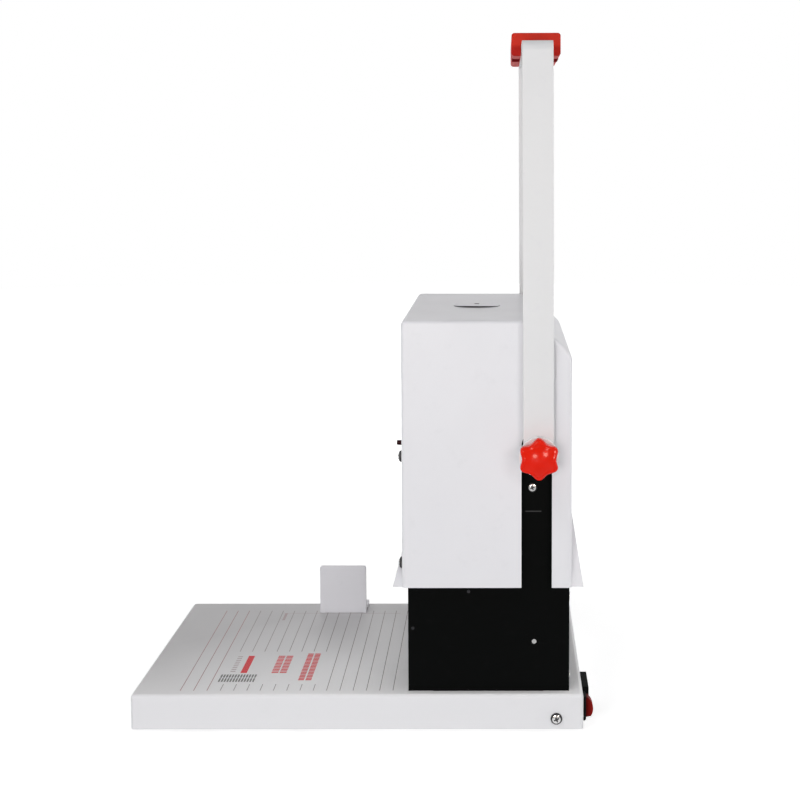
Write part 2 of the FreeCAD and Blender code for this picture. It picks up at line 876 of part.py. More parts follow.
def shaft_bushes():
    inner = side_inner - bush_flange
    bush = along_x(inner, side_inner, pivot_y, pivot_z, bush_flange_radius)
    (low_y, low_z), (high_y, high_z) = bush_screw_places()
    lugs = [along_x(inner, side_inner, y, z, bush_lug_radius) for y, z in bush_screw_places()]
    length = math.hypot(high_y - low_y, high_z - low_z)
    aside = V(0, (high_z - low_z) / length, -(high_y - low_y) / length).multiply(bush_lug_radius)
    low_end = V(inner, low_y, low_z)
    high_end = V(inner, high_y, high_z)
    strap = prism([low_end.add(aside), high_end.add(aside), high_end.sub(aside), low_end.sub(aside)],
                  V(bush_flange, 0, 0))
    bush = bush.fuse([lugs[0], lugs[1], strap])
    body_low = inner - bush_boss
    body_high = side_outer + bush_outer_reach
    bush = bush.fuse(along_x(body_low, body_high, pivot_y, pivot_z, bush_body_radius))
    bore_radius = shaft_radius + shaft_running_gap
    bush = bush.cut(along_x(body_low - 1, body_high + 1, pivot_y, pivot_z, bore_radius))
    for y, z in bush_screw_places():
        bush = bush.cut(along_x(inner - 1, side_inner + 1, y, z, frame_screw_radius))
    save("shaft_bushes", *both_sides(bush.removeSplitter()))


def back_gauge():
    """Folded plate: a wall across the throat, a roof going back and an ear at each end."""
    end = side_inner - gauge_side_gap
    front = drill_line + gauge_behind_line
    low = base_top + gauge_floor_gap
    high = guide_low - gauge_top_gap
    wall = block(-end, end, front, front + gauge_sheet, low, high)
    roof = block(-end, end, front, front + gauge_depth, high - gauge_sheet, high)
    ear = block(end - gauge_sheet, end, front, front + gauge_depth, high - gauge_ear_height, high)
    gauge = wall.fuse(roof).fuse(ear).fuse(mirrored(ear)).removeSplitter()
    y, z = gauge_pin_place()
    hole = along_x(-side_outer, side_outer, y, z, gauge_pin_radius)
    save("back_gauge", gauge.cut(hole))
    pin_start = end - gauge_sheet - gauge_pin_inside
    pin = along_x(pin_start, side_outer + gauge_pin_proud, y, z, gauge_pin_radius)
    save("gauge_pins", *both_sides(pin))


def rear_cover():
    rear = plate_rear - side_sheet
    half = side_inner - rear_cover_gap
    low = base_top + rear_cover_gap
    cover = block(-half, half, rear - rear_cover_sheet, rear, low, base_top + rear_cover_height)
    for x, z in rear_screw_places():
        for side in (-x, x):
            cover = cover.cut(along_y(side, rear - rear_cover_sheet - 1, rear + 1, z, frame_screw_radius))
    save("rear_cover", cover)


def hood_outline(x, inset, low):
    """The hood's side outline, moved in by a distance, starting and ending at z = low."""
    front = hood_front + inset
    high = hood_high - inset
    chamfer = hood_chamfer_sum(inset)
    rear = hood_rear - inset
    corners = [(front, low), (front, high), (chamfer - high, high), (rear, chamfer - rear), (rear, low)]
    radii = [0, hood_front_radius - inset, hood_chamfer_radius, hood_chamfer_radius, 0]
    points = [V(x, y, z) for y, z in corners]
    edges = []
    start = points[0]
    for index in range(1, len(points) - 1):
        before = points[index - 1].sub(points[index]).normalize()
        after = points[index + 1].sub(points[index]).normalize()
        half_angle = before.getAngle(after) / 2
        setback = radii[index] / math.tan(half_angle)
        first = points[index].add(before * setback)
        last = points[index].add(after * setback)
        bisector = before.add(after).normalize()
        middle = points[index].add(bisector * (radii[index] / math.sin(half_angle) - radii[index]))
        edges.append(Part.LineSegment(start, first).toShape())
        edges.append(Part.Arc(first, middle, last).toShape())
        start = last
    edges.append(Part.LineSegment(start, points[-1]).toShape())
    edges.append(Part.LineSegment(points[-1], points[0]).toShape())
    return Part.Wire(edges)


def skirt(wall, out, height, inset, low):
    """Flared skirt as a solid wedge, moved in by a distance and reaching down to z = low.

    It leans outwards from the wall, and it is narrower at its top than at its rim.
    """
    sign = -1 if wall == hood_front else 1
    start = hood_low + height
    slope = out / height
    face = wall - sign * inset
    reach = face + sign * slope * (start - low)
    back = face - sign * (hood_wall + 1)
    profile = [(back, low), (reach, low), (face, start), (back, start)]
    wedge = side_prism(profile, -hood_half_width, hood_half_width)
    rim_half = hood_half_width - skirt_inset - inset
    top_half = hood_half_width - skirt_top_inset - inset
    spread = (rim_half - top_half) / height * (hood_low - low)
    corners = [(-rim_half - spread, low), (rim_half + spread, low), (top_half, start), (-top_half, start)]
    near_side = min(back, reach)
    outline = [V(x, near_side, z) for x, z in corners]
    return wedge.common(prism(outline, V(0, abs(reach - back), 0)))


def skirts(inset, low):
    return [skirt(hood_front, front_skirt_out, front_skirt_height, inset, low),
            skirt(hood_rear, rear_skirt_out, rear_skirt_height, inset, low)]


def hood():
    half = hood_half_width
    shell = Part.Face(hood_outline(-half, 0, hood_low)).extrude(V(2 * half, 0, 0))
    rim = edges_at(shell, lambda p: near(abs(p.x), half))
    rim = [e for e in rim if not (near(e.Vertexes[0].Z, hood_low) and near(e.Vertexes[1].Z, hood_low))]
    shell = shell.makeFillet(hood_side_radius, rim)
    shell = shell.fuse(skirts(0, hood_low))
    below = hood_low - 1
    inner_half = half - hood_wall
    inside = Part.Face(hood_outline(-inner_half, hood_wall, below)).extrude(V(2 * inner_half, 0, 0))
    inside = inside.fuse(skirts(hood_wall, below))
    slot_middle = pivot_z + slot_above_pivot - slot_half_width
    slot_y = pivot_y - slot_before_pivot
    cuts = [inside]
    slot = block(inner_half - 1, half + 1, slot_y - slot_half_width, slot_y + slot_half_width,
                 below, slot_middle)
    slot = slot.fuse(along_x(inner_half - 1, half + 1, slot_y, slot_middle, slot_half_width))
    cuts += both_sides(slot)
    for z in (base_top + hood_screw_low, base_top + hood_screw_high):
        cuts += both_sides(along_y(hood_screw_x, hood_front - 1, hood_front + hood_wall + 1, z,
                                   cover_screw_radius + pad_fit))
    cuts.append(along_y(lamp_x, hood_front - 1, hood_front + hood_wall + 1, base_top + lamp_height,
                        lamp_radius + lamp_fit))
    cuts.append(along_z(0, drill_line, hood_inner_top - 1, hood_high + 1, cap_plug_radius + cap_fit))
    save("hood", shell.cut(Part.makeCompound(cuts)).removeSplitter())


def top_cap():
    disc = along_z(0, drill_line, hood_high, hood_high + cap_height, cap_radius)
    rim = [e for e in disc.Edges if near(e.BoundBox.ZMin, hood_high + cap_height) and len(e.Vertexes) == 1]
    disc = disc.makeFillet(cap_edge_radius, rim)
    plug = along_z(0, drill_line, hood_high - cap_plug_depth, hood_high, cap_plug_radius)
    slot = block(-cap_slot_width / 2, cap_slot_width / 2, drill_line - cap_slot_length / 2,
                 drill_line + cap_slot_length / 2, hood_high + cap_height - cap_slot_depth,
                 hood_high + cap_height)
    save("top_cap", disc.fuse(plug).cut(slot).removeSplitter())


def power_led():
    z = base_top + lamp_height
    dome_y = hood_front - lamp_reach + lamp_radius
    inside = hood_front + hood_wall
    tube = along_y(lamp_x, dome_y, inside, z, lamp_radius)
    dome = Part.makeSphere(lamp_radius, V(lamp_x, dome_y, z))
    flange = along_y(lamp_x, inside, inside + lamp_flange, z, lamp_radius + lamp_flange)
    save("power_led", tube.fuse([dome, flange]).removeSplitter())


def switch_opening():
    """Hole for the switch in the base's back wall."""
    half_width = switch_width / 2 - switch_body_inset + wall_hole_fit
    half_height = switch_height / 2 - switch_body_inset + wall_hole_fit
    z = foot_height + switch_centre
    return block(switch_x - half_width, switch_x + half_width, base_rear - tray_sheet - 1, base_rear + 1,
                 z - half_height, z + half_height)


def rocker_pivot():
    return V(switch_x, base_rear, foot_height + switch_centre)


def switch_housing():
    z = foot_height + switch_centre
    half_width = switch_width / 2
    half_height = switch_height / 2
    bezel = block(switch_x - half_width, switch_x + half_width, base_rear, base_rear + switch_bezel,
                  z - half_height, z + half_height)
    outer_edges = edges_at(bezel, lambda p: near(p.y, base_rear + switch_bezel))
    bezel = bezel.makeChamfer(switch_bezel_taper, outer_edges)
    inset = switch_body_inset
    body = block(switch_x - half_width + inset, switch_x + half_width - inset,
                 base_rear - switch_body_depth, base_rear, z - half_height + inset, z + half_height - inset)
    wall = inset + switch_wall
    hollow = block(switch_x - half_width + wall, switch_x + half_width - wall,
                   base_rear - switch_body_depth + switch_wall, base_rear + switch_bezel + 1,
                   z - half_height + wall, z + half_height - wall)
    pin = along_x(switch_x - half_width + inset, switch_x + half_width - inset, base_rear, z,
                  rocker_pin_radius)
    save("switch_housing", bezel.fuse(body).cut(hollow).fuse(pin).removeSplitter())


def switch_rocker():
    """Domed rocker on its pin, its lower half out. The dome's highest point sets the reach."""
    pivot = rocker_pivot()
    inset = switch_body_inset + switch_wall
    half_width = switch_width / 2 - inset - rocker_side_gap
    half_height = switch_height / 2 - inset - rocker_end_gap
    tilt = math.radians(rocker_throw_degrees / 2)
    dome_radius = rocker_reach + rocker_dome_centre * math.cos(tilt)
    apex = dome_radius - rocker_dome_centre
    end_y = math.sqrt(dome_radius ** 2 - half_height ** 2) - rocker_dome_centre
    low_end = V(0, end_y, -half_height)
    high_end = V(0, end_y, half_height)
    back = [high_end, V(0, 0, half_height), V(0, -rocker_neck, rocker_neck),
            V(0, -rocker_neck, -rocker_neck), V(0, 0, -half_height), low_end]
    edges = [Part.Arc(low_end, V(0, apex, 0), high_end).toShape()]
    for start, end in zip(back, back[1:]):
        edges.append(Part.LineSegment(start, end).toShape())
    rocker = Part.Face(Part.Wire(edges)).extrude(V(2 * half_width, 0, 0))
    rocker = rocker.cut(along_x(-1, 2 * half_width + 1, 0, 0, rocker_pin_radius + shaft_running_gap))
    rocker.rotate(V(0, 0, 0), V(1, 0, 0), rocker_throw_degrees / 2)
    rocker.translate(pivot.sub(V(half_width, 0, 0)))
    save("switch_rocker", rocker)


def inlet_opening():
    """Hole for the mains inlet in the base's back wall."""
    z = foot_height + inlet_centre
    half_width = inlet_body_width / 2 + wall_hole_fit
    half_height = inlet_body_height / 2 + wall_hole_fit
    return block(inlet_x - half_width, inlet_x + half_width, base_rear - tray_sheet - 1, base_rear + 1,
                 z - half_height, z + half_height)


def power_inlet():
    z = foot_height + inlet_centre
    bezel = block(inlet_x - inlet_width / 2, inlet_x + inlet_width / 2, base_rear, base_rear + inlet_bezel,
                  z - inlet_height / 2, z + inlet_height / 2)
    corners = [e for e in bezel.Edges if not near(e.Vertexes[0].Y, e.Vertexes[1].Y)]
    bezel = bezel.makeFillet(inlet_corner, corners)
    body = block(inlet_x - inlet_body_width / 2, inlet_x + inlet_body_width / 2,
                 base_rear - inlet_body_depth, base_rear, z - inlet_body_height / 2,
                 z + inlet_body_height / 2)
    mouth_back = base_rear + inlet_bezel - inlet_mouth_depth
    mouth = block(inlet_x - inlet_mouth_width / 2, inlet_x + inlet_mouth_width / 2, mouth_back,
                  base_rear + inlet_bezel + 1, z - inlet_mouth_height / 2, z + inlet_mouth_height / 2)
    save("power_inlet", bezel.fuse(body).cut(mouth).removeSplitter())
    blades = []
    rows = [(-blade_spacing / 2, -blade_row), (blade_spacing / 2, -blade_row), (0, blade_row)]
    for x, rise in rows:
        middle = inlet_x + x
        level = z + rise
        blades.append(block(middle - blade_width / 2, middle + blade_width / 2, mouth_back,
                            mouth_back + blade_length, level - blade_height / 2, level + blade_height / 2))
    save("inlet_pins", *blades)


def control_board():
    """Board on four posts, with a transformer, a capacitor and a terminal block."""
    x0 = board_x - board_width / 2
    y0 = base_front + board_from_front - board_depth / 2
    low = bottom_top + board_post
    board = block(x0, x0 + board_width, y0, y0 + board_depth, low, low + board_sheet)
    for x in (x0 + board_inset, x0 + board_width - board_inset):
        for post_y in (y0 + board_inset, y0 + board_depth - board_inset):
            board = board.fuse(along_z(x, post_y, bottom_top, low, board_post_radius))
    top = low + board_sheet
    y = y0 + board_depth / 2
    transformer_x = x0 + transformer_from_end
    terminals_x = x0 + terminals_from_end
    board = board.fuse(block(transformer_x, transformer_x + transformer_width, y - transformer_depth / 2,
                             y + transformer_depth / 2, top, top + transformer_height))
    board = board.fuse(along_z(x0 + capacitor_from_end, y, top, top + capacitor_height, capacitor_radius))
    board = board.fuse(block(terminals_x, terminals_x + terminals_width, y - terminals_depth / 2,
                             y + terminals_depth / 2, top, top + terminals_height))
    save("control_board", board.removeSplitter())


def head_plate_blank(low, high):
    """One plate of the head: it reaches further back between the racks, round the bearings."""
    tongue_half = sector_inner_x - head_rack_gap
    plate = block(-head_half_width, head_half_width, head_front, head_back, low, high)
    tongue = block(-tongue_half, tongue_half, head_front, drill_line + head_rear_reach, low, high)
    return plate.fuse(tongue).removeSplitter()


def head_plates():
    low = head_plate_blank(head_low, head_low_top)
    high = head_plate_blank(head_high, head_top)
    shared = []
    for x in (-post_x, post_x):
        shared.append(along_z(x, drill_line, head_low - 1, head_top + 1, guide_bush_radius))
    for x in idler_places:
        shared.append(along_z(x, drill_line, head_low - 1, head_top + 1, idler_pin_radius))
    for x in spindle_places:
        shared.append(along_z(x, drill_line, head_low - 1, head_top + 1, bearing_radius))
    for x, y in spacer_places():
        shared.append(along_z(x, y, head_low - 1, head_top + 1, head_screw_radius))
    for x, z in rack_screw_places():
        for side in (-x, x):
            shared.append(along_y(side, head_back - head_screw_reach, head_back + 1, z, head_screw_radius))
    save("head_plate_lower", low.cut(Part.makeCompound(shared)))
    shared.append(along_z(motor_x, motor_y, head_high - 1, head_top + 1, motor_pilot_radius))
    for x, y in motor_screw_places():
        shared.append(along_z(x, y, head_high - 1, head_top + 1, head_screw_radius))
    save("head_plate_upper", high.cut(Part.makeCompound(shared)))


def spacer_places():
    y = drill_line - spacer_front
    return [(x, y) for x in (-spacer_outer_x, -spacer_inner_x, spacer_inner_x, spacer_outer_x)]


def rack_screw_places():
    x = sector_inner_x + sector_width / 2
    return [(x, head_low + head_plate / 2), (x, head_high + head_plate / 2)]


def motor_screw_places():
    """Screws on a circle, turned half a step so that none lies on the row of spindles' side."""
    spots = []
    for k in range(motor_screw_count):
        spot = polar(motor_screw_circle, 2 * math.pi * (k + 0.5) / motor_screw_count)
        spots.append((motor_x + spot.x, motor_y + spot.y))
    return spots


def head_fasteners():
    spacers = []
    screws = []
    screw = socket_screw()
    for x, y in spacer_places():
        spacer = along_z(x, y, head_low_top, head_high, spacer_radius)
        spacers.append(spacer.cut(along_z(x, y, head_low_top, head_high, head_screw_radius)))
        screws.append(turned_to(screw, V(0, 0, 1), V(x, y, head_top)))
        screws.append(turned_to(screw, V(0, 0, -1), V(x, y, head_low)))
    for x, z in rack_screw_places():
        for side in (-x, x):
            screws.append(turned_to(rack_screw(), V(0, 1, 0), V(side, head_back, z)))
    for x, y in motor_screw_places():
        screws.append(turned_to(screw, V(0, 0, -1), V(x, y, head_high)))
    save("head_spacers", *spacers)
    save("head_screws", *screws)


def rack_screw():
    """Screw sunk in a rack: its head's top is flush with the rack's plain face."""
    head_low_end = rack_body - head_screw_head
    head = along_z(0, 0, head_low_end, rack_body, head_screw_head_radius)
    socket = along_z(0, 0, rack_body - head_screw_socket_depth, rack_body, head_screw_socket_radius)
    shank = along_z(0, 0, -head_screw_reach, head_low_end + shank_in_head, head_screw_radius)
    return head.cut(socket).fuse(shank).removeSplitter()


def guide_bushes():
    bushes = []
    for x in (-post_x, post_x):
        low = head_low - guide_bush_over
        high = head_top + guide_bush_over
        bush = along_z(x, drill_line, low, high, guide_bush_radius)
        bushes.append(bush.cut(along_z(x, drill_line, low, high, post_radius + shaft_running_gap)))
    save("guide_bushes", *bushes)


def spindle_bearings():
    rings = []
    for x in spindle_places:
        for low in (head_low, head_high):
            ring = along_z(x, drill_line, low, low + head_plate, bearing_radius)
            bore = along_z(x, drill_line, low, low + head_plate, journal_radius + shaft_running_gap)
            rings.append(ring.cut(bore))
    save("spindle_bearings", *rings)


def idlers():
    pins = []
    names = ("idler_gear_left", "idler_gear_right")
    for name, x in zip(names, idler_places):
        pins.append(along_z(x, drill_line, head_low, head_top, idler_pin_radius))
        wheel = gear_wheel(spindle_gear_teeth, gear_width, 0)
        hub = along_z(0, 0, -gear_above_plate + axial_gap, head_plate_gap - gear_above_plate - axial_gap,
                      spindle_radius)
        bore = along_z(0, 0, -gear_above_plate, head_plate_gap, idler_pin_radius + shaft_running_gap)
        wheel = wheel.fuse(hub).cut(bore)
        wheel.translate(V(x, drill_line, gear_low))
        save(name, wheel.removeSplitter())
    save("idler_pins", *pins)


def spindles():
    names = ("left", "center", "right")
    half_pitch = math.pi / spindle_gear_teeth
    for name, x in zip(names, spindle_places):
        top = head_top + spindle_stub
        spindle = along_z(x, drill_line, head_low, top, journal_radius)
        spindle = spindle.fuse(along_z(x, drill_line, head_low_top + axial_gap, head_high - axial_gap,
                                       spindle_radius))
        wheel = gear_wheel(spindle_gear_teeth, gear_width, half_pitch)
        wheel.translate(V(x, drill_line, gear_low))
        spindle = spindle.fuse(wheel)
        bore = along_z(x, drill_line, head_low, top, drill_bore_radius)
        socket = along_z(x, drill_line, head_low, head_low + drill_shank_length, drill_shank_radius)
        save("spindle_" + name, spindle.cut(bore.fuse(socket)).removeSplitter())
        collar = along_z(x, drill_line, collar_low, head_low - axial_gap, drill_collar_radius)
        bit = along_z(x, drill_line, drill_tip, collar_low, drill_radius)
        shank = along_z(x, drill_line, collar_low, head_low + drill_shank_length, drill_shank_radius)
        through = along_z(x, drill_line, drill_tip, head_low + drill_shank_length, drill_bore_radius)
        cone_height = drill_radius - drill_bore_radius
        lip = Part.makeCone(drill_radius, drill_bore_radius, cone_height, V(x, drill_line, drill_tip))
        drill = bit.fuse(collar).fuse(shank).cut(through).cut(lip)
        save("drill_" + name, drill.removeSplitter())


def racks():
    """Two toothed bars. A gap between teeth lies level with the lever's shaft at rest."""
    slope = math.tan(math.radians(pressure_angle))
    half_tooth = tooth_pitch / 4 - tooth_thinning
    tip_half = half_tooth - gear_module * slope
    root_half = half_tooth + root_depth * slope
    tip = rack_line + gear_module
    corners = [(head_back, head_low), (rack_root, head_low)]
    for index in range(rack_teeth):
        middle = rack_first_tooth + index * tooth_pitch
        corners += [(rack_root, middle - root_half), (tip, middle - tip_half),
                    (tip, middle + tip_half), (rack_root, middle + root_half)]
    corners += [(rack_root, rack_top), (head_back, rack_top)]
    rack = side_prism(corners, sector_inner_x, sector_inner_x + sector_width)
    for x, z in rack_screw_places():
        rack = rack.cut(along_y(x, head_back - 1, rack_root + 1, z, head_screw_radius))
        rack = rack.cut(along_y(x, rack_root - head_screw_head, rack_root + 1, z, head_screw_head_radius))
    save("racks", *both_sides(rack))


def motor():
    can_top = head_top + motor_height
    can = along_z(motor_x, motor_y, head_top, can_top, motor_radius)
    can = can.cut(along_z(motor_x, motor_y, head_top + motor_wall, can_top, motor_radius - motor_wall))
    can = can.cut(along_z(motor_x, motor_y, head_top - 1, can_top, motor_shaft_radius + motor_air_gap))
    for x, y in motor_screw_places():
        can = can.cut(along_z(x, y, head_top - 1, can_top, head_screw_radius))
    save("motor_body", can)
    cap = along_z(motor_x, motor_y, can_top, can_top + motor_cap, motor_radius)
    rim = [e for e in cap.Edges if near(e.BoundBox.ZMin, can_top + motor_cap) and len(e.Vertexes) == 1]
    cap = cap.makeFillet(motor_wall, rim)
    roof = can_top + motor_cap - motor_wall
    cap = cap.cut(along_z(motor_x, motor_y, can_top, roof, motor_radius - motor_wall))
    boss = along_z(motor_x, motor_y, can_top, roof, motor_shaft_radius + motor_boss_wall)
    boss = boss.cut(along_z(motor_x, motor_y, can_top, roof, motor_shaft_radius + shaft_running_gap))
    save("motor_end_cap", cap.fuse(boss).removeSplitter())
    pinion = gear_wheel(motor_pinion_teeth, gear_width, 0)
    pinion.translate(V(motor_x, motor_y, gear_low))
    shaft = along_z(motor_x, motor_y, gear_low - pinion_stub, roof - shaft_end_gap, motor_shaft_radius)
    rotor = along_z(motor_x, motor_y, head_top + motor_wall + rotor_end_gap, can_top - rotor_end_gap,
                    motor_radius - motor_wall - motor_air_gap)
    save("motor_pinion", shaft.fuse([pinion, rotor]).removeSplitter())


def biarc(start, start_way, end, end_way):
    """Two tangent arcs from start to end that leave and arrive along the given directions."""
    span = end.sub(start)
    ways = start_way.add(end_way)
    square = 2 * (1 - start_way.dot(end_way))
    reach = (-span.dot(ways) + math.sqrt(span.dot(ways) ** 2 + square * span.dot(span))) / square
    joint = start.add(end).add((start_way.sub(end_way)) * reach) * 0.5
    first = tangent_arc(start, start_way, joint)
    joint_way = joint.sub(start.add(start_way * reach)).normalize()
    return [first, tangent_arc(joint, joint_way, end)]


def tangent_arc(start, way, end):
    """Arc from start to end that leaves start along a direction."""
    chord = end.sub(start)
    aside = chord.sub(way * chord.dot(way))
    aside.normalize()
    radius = chord.dot(chord) / (2 * chord.dot(aside))
    centre = start.add(aside * radius)
    spoke = start.sub(centre).add(end.sub(centre)).normalize()
    return Part.Arc(start, centre.add(spoke * radius), end).toShape()


def return_springs():
    """Coil springs between the bridge and the head, each one unbroken wire."""
    y = drill_line - spring_before_line
    wire = 2 * spring_wire_radius
    low = head_top + wire
    high = bridge_low - wire
    climb = high - low
    steps = spring_turns * 4
    turn_climb = climb / spring_turns
    slope = math.atan2(turn_climb, 2 * math.pi * spring_radius)

    def place(step):
        angle = step * math.pi / 2
        spot = V(spring_x + spring_radius * math.cos(angle), y + spring_radius * math.sin(angle),
                 low + climb * step / steps)
        way = V(-math.sin(angle) * math.cos(slope), math.cos(angle) * math.cos(slope), math.sin(slope))
        return spot, way

    edges = []
    for step in range(steps):
        start, start_way = place(step)
        end, end_way = place(step + 1)
        edges += biarc(start, start_way, end, end_way)
    path = Part.Wire(edges)
    start, start_way = place(0)
    section = Part.Wire(Part.makeCircle(spring_wire_radius, start, start_way))
    coil = path.makePipeShell([section], True, False)
    ends = [along_z(start.x, start.y, head_top, low, spring_wire_radius)]
    finish = place(steps)[0]
    ends.append(along_z(finish.x, finish.y, high, bridge_low, spring_wire_radius))
    spring = coil.fuse(ends)
    print("spring turns clear each other by", round(turn_climb - wire, 3))
    save("return_springs", *both_sides(spring))


def gear_sectors():
    """Sectors pinned to the lever's shaft, a tooth level with the shaft on the rack's side."""
    pitch_angle = 360.0 / sector_teeth
    last = math.ceil(lever_swing_degrees / pitch_angle) + sector_spare_teeth
    inner = sector_hub_radius - sector_in_hub
    flat = Part.Face(gear_outline(sector_teeth, -last, sector_spare_teeth, inner))
    sector = flat.extrude(V(0, 0, sector_width))
    hub = along_z(0, 0, -sector_hub_over, sector_width + sector_hub_over, sector_hub_radius)
    bore = along_z(0, 0, -sector_hub_over, sector_width + sector_hub_over, shaft_radius)
    sector = sector.fuse(hub).cut(bore)
    # Local Z becomes +X and local X becomes -Y, so local Y becomes -Z.
    placement = FreeCAD.Matrix(0, 0, 1, sector_inner_x, -1, 0, 0, pivot_y, 0, -1, 0, pivot_z, 0, 0, 0, 1)
    sector = sector.transformed(placement)
    middle = sector_inner_x + sector_width / 2
    pin_front = pivot_y - sector_hub_radius
    pin = along_y(middle, pin_front, pivot_y + sector_hub_radius, pivot_z, sector_pin_radius)
    save("gear_sectors", *both_sides(sector.cut(pin).removeSplitter()))
    bound = along_x(middle - sector_pin_radius, middle + sector_pin_radius, pivot_y, pivot_z,
                    sector_hub_radius)
    save("sector_pins", *both_sides(pin.common(bound)))


def pivot_shaft():
    body = along_x(-arm_inner, arm_inner, pivot_y, pivot_z, shaft_radius)
    flatted = along_x(arm_inner, arm_outer, pivot_y, pivot_z, shaft_radius)
    flatted = flatted.common(block(arm_inner, arm_outer, pivot_y - shaft_radius, pivot_y + shaft_radius,
                                   pivot_z - shaft_flat, pivot_z + shaft_flat))
    stud_end = arm_outer + disc_thickness + stud_length
    stud = along_x(arm_outer, stud_end, pivot_y, pivot_z, stud_radius)
    shaft = body.fuse([flatted, stud, mirrored(flatted), mirrored(stud)])
    middle = sector_inner_x + sector_width / 2
    for x in (-middle, middle):
        shaft = shaft.cut(along_y(x, pivot_y - shaft_radius - 1, pivot_y + shaft_radius + 1, pivot_z,
                                  sector_pin_radius))
    save("pivot_shaft", shaft.removeSplitter())


def leaned(shape):
    """Turned forward about the lever's shaft by the angle at which the lever rests."""
    turned = shape.copy()
    turned.rotate(V(0, pivot_y, pivot_z), V(1, 0, 0), lever_lean_degrees)
    return turned


def handle_bar():
    """Flat bar bent to a U: two arms with round ends and the bar across. At rest it leans forward."""
    low = pivot_z
    outer = block(-arm_outer, arm_outer, pivot_y - arm_width / 2, pivot_y + arm_width / 2, low, arm_top)
    outer_top = [e for e in outer.Edges if near(abs(e.Vertexes[0].X), arm_outer)
                 and near(e.BoundBox.ZMin, arm_top) and near(e.BoundBox.XLength, 0)]
    outer = outer.makeFillet(arm_bend_radius, outer_top)
    inner = block(-arm_inner, arm_inner, pivot_y - arm_width, pivot_y + arm_width, low - 1,
                  arm_top - arm_sheet)
    inner_top = [e for e in inner.Edges if near(abs(e.Vertexes[0].X), arm_inner)
                 and near(e.BoundBox.ZMin, arm_top - arm_sheet) and near(e.BoundBox.XLength, 0)]
    inner = inner.makeFillet(arm_bend_radius - arm_sheet, inner_top)
    bar = outer.cut(inner)
    end = along_x(arm_inner, arm_outer, pivot_y, pivot_z, arm_width / 2)
    bar = leaned(bar.fuse([end, mirrored(end)]).removeSplitter())
    hole = along_x(-arm_outer - 1, arm_outer + 1, pivot_y, pivot_z, shaft_radius)
    hole = hole.common(block(-arm_outer - 1, arm_outer + 1, pivot_y - shaft_radius, pivot_y + shaft_radius,
                             pivot_z - shaft_flat, pivot_z + shaft_flat))
    save("handle_bar", bar.cut(hole))


def grip():
    """Red cover clipped over the middle of the cross bar, open underneath."""
    half_length = grip_length / 2
    half_width = grip_width / 2
    top = arm_top + grip_top
    low = arm_top - grip_leg + grip_top
    cover = block(-half_length, half_length, pivot_y - half_width, pivot_y + half_width, low, top)
    long_edges = [e for e in cover.Edges if near(e.BoundBox.XLength, 2 * half_length)]
    cover = cover.makeFillet(grip_edge_radius, long_edges)
    gap = arm_width / 2 + grip_fit
    channel = block(-half_length - 1, half_length + 1, pivot_y - gap, pivot_y + gap, low - 1, arm_top)
    save("grip", leaned(cover.cut(channel)))


def arm_spacers_and_discs():
    start = side_outer + bush_outer_reach + axial_gap
    sleeve = along_x(start, arm_inner, pivot_y, pivot_z, spacer_sleeve_radius)
    sleeve = sleeve.cut(along_x(start, arm_inner, pivot_y, pivot_z, shaft_radius))
    save("arm_spacers", *both_sides(sleeve))
    disc = along_x(arm_outer, arm_outer + disc_thickness, pivot_y, pivot_z, disc_radius)
    disc = disc.cut(along_x(arm_outer, arm_outer + disc_thickness, pivot_y, pivot_z, stud_radius))
    save("hub_discs", *both_sides(disc))


def star_knobs():
    """Six-lobed knobs with a domed front, one lobe up."""
    start = arm_outer + disc_thickness + knob_disc_gap
    body_low = start + knob_stem
    end = start + knob_stem + knob_thickness
    star = along_x(body_low, end, pivot_y, pivot_z, knob_core_radius)
    lobe_centre = knob_reach - knob_lobe_radius
    for k in range(knob_lobes):
        angle = 2 * math.pi * k / knob_lobes
        star = star.fuse(along_x(body_low, end, pivot_y + lobe_centre * math.sin(angle),
                                 pivot_z + lobe_centre * math.cos(angle), knob_lobe_radius))
    dome = Part.makeSphere(knob_dome_radius, V(end - knob_dome_radius, pivot_y, pivot_z))
    star = star.removeSplitter().common(dome)
    stem = along_x(start, body_low, pivot_y, pivot_z, knob_stem_radius)
    stud_end = arm_outer + disc_thickness + stud_length
    hole = along_x(start - 1, stud_end + knob_bore_spare, pivot_y, pivot_z, stud_radius + shaft_running_gap)
    knob = star.fuse(stem).cut(hole).removeSplitter()
    save("star_knob_right", knob)
    save("star_knob_left", mirrored(knob))


def side_stop():
    """White angle: a plate that faces the paper and a foot behind it, with two magnets below."""
    low = base_top
    face = -stop_face_x
    rear = stop_front + stop_width
    plate = block(face - stop_sheet, face, stop_front, rear, low, low + stop_height)
    corners = [e for e in plate.Edges if near(e.BoundBox.ZMin, low + stop_height)
               and near(e.BoundBox.YLength, 0)]
    plate = plate.makeFillet(stop_corner_radius, corners)
    foot = block(face - stop_foot, face, stop_front, rear, low, low + stop_foot_sheet)
    stop = plate.fuse(foot).removeSplitter()
    magnets = []
    middle_y = stop_front + stop_width / 2
    x = face - stop_foot / 2
    for y in (middle_y - magnet_spacing / 2, middle_y + magnet_spacing / 2):
        magnet = along_z(x, y, low, low + magnet_depth, magnet_radius)
        stop = stop.cut(magnet)
        magnets.append(magnet)
    save("side_stop", stop)
    save("stop_magnets", *magnets)


base_tray()
base_plate()
feet()
anvil_and_pads()
cover_screws()
side_plates()
side_plate_bolts()
drill_guide_plate()
guide_plate_rivets()
posts()
top_bridge()
frame_screws()
shaft_bushes()
back_gauge()
rear_cover()
hood()
top_cap()
power_led()
switch_housing()
switch_rocker()
power_inlet()
control_board()
head_plates()
head_fasteners()
guide_bushes()
spindle_bearings()
idlers()
spindles()
racks()
motor()
return_springs()
gear_sectors()
pivot_shaft()
handle_bar()
grip()
arm_spacers_and_discs()
star_knobs()
side_stop()
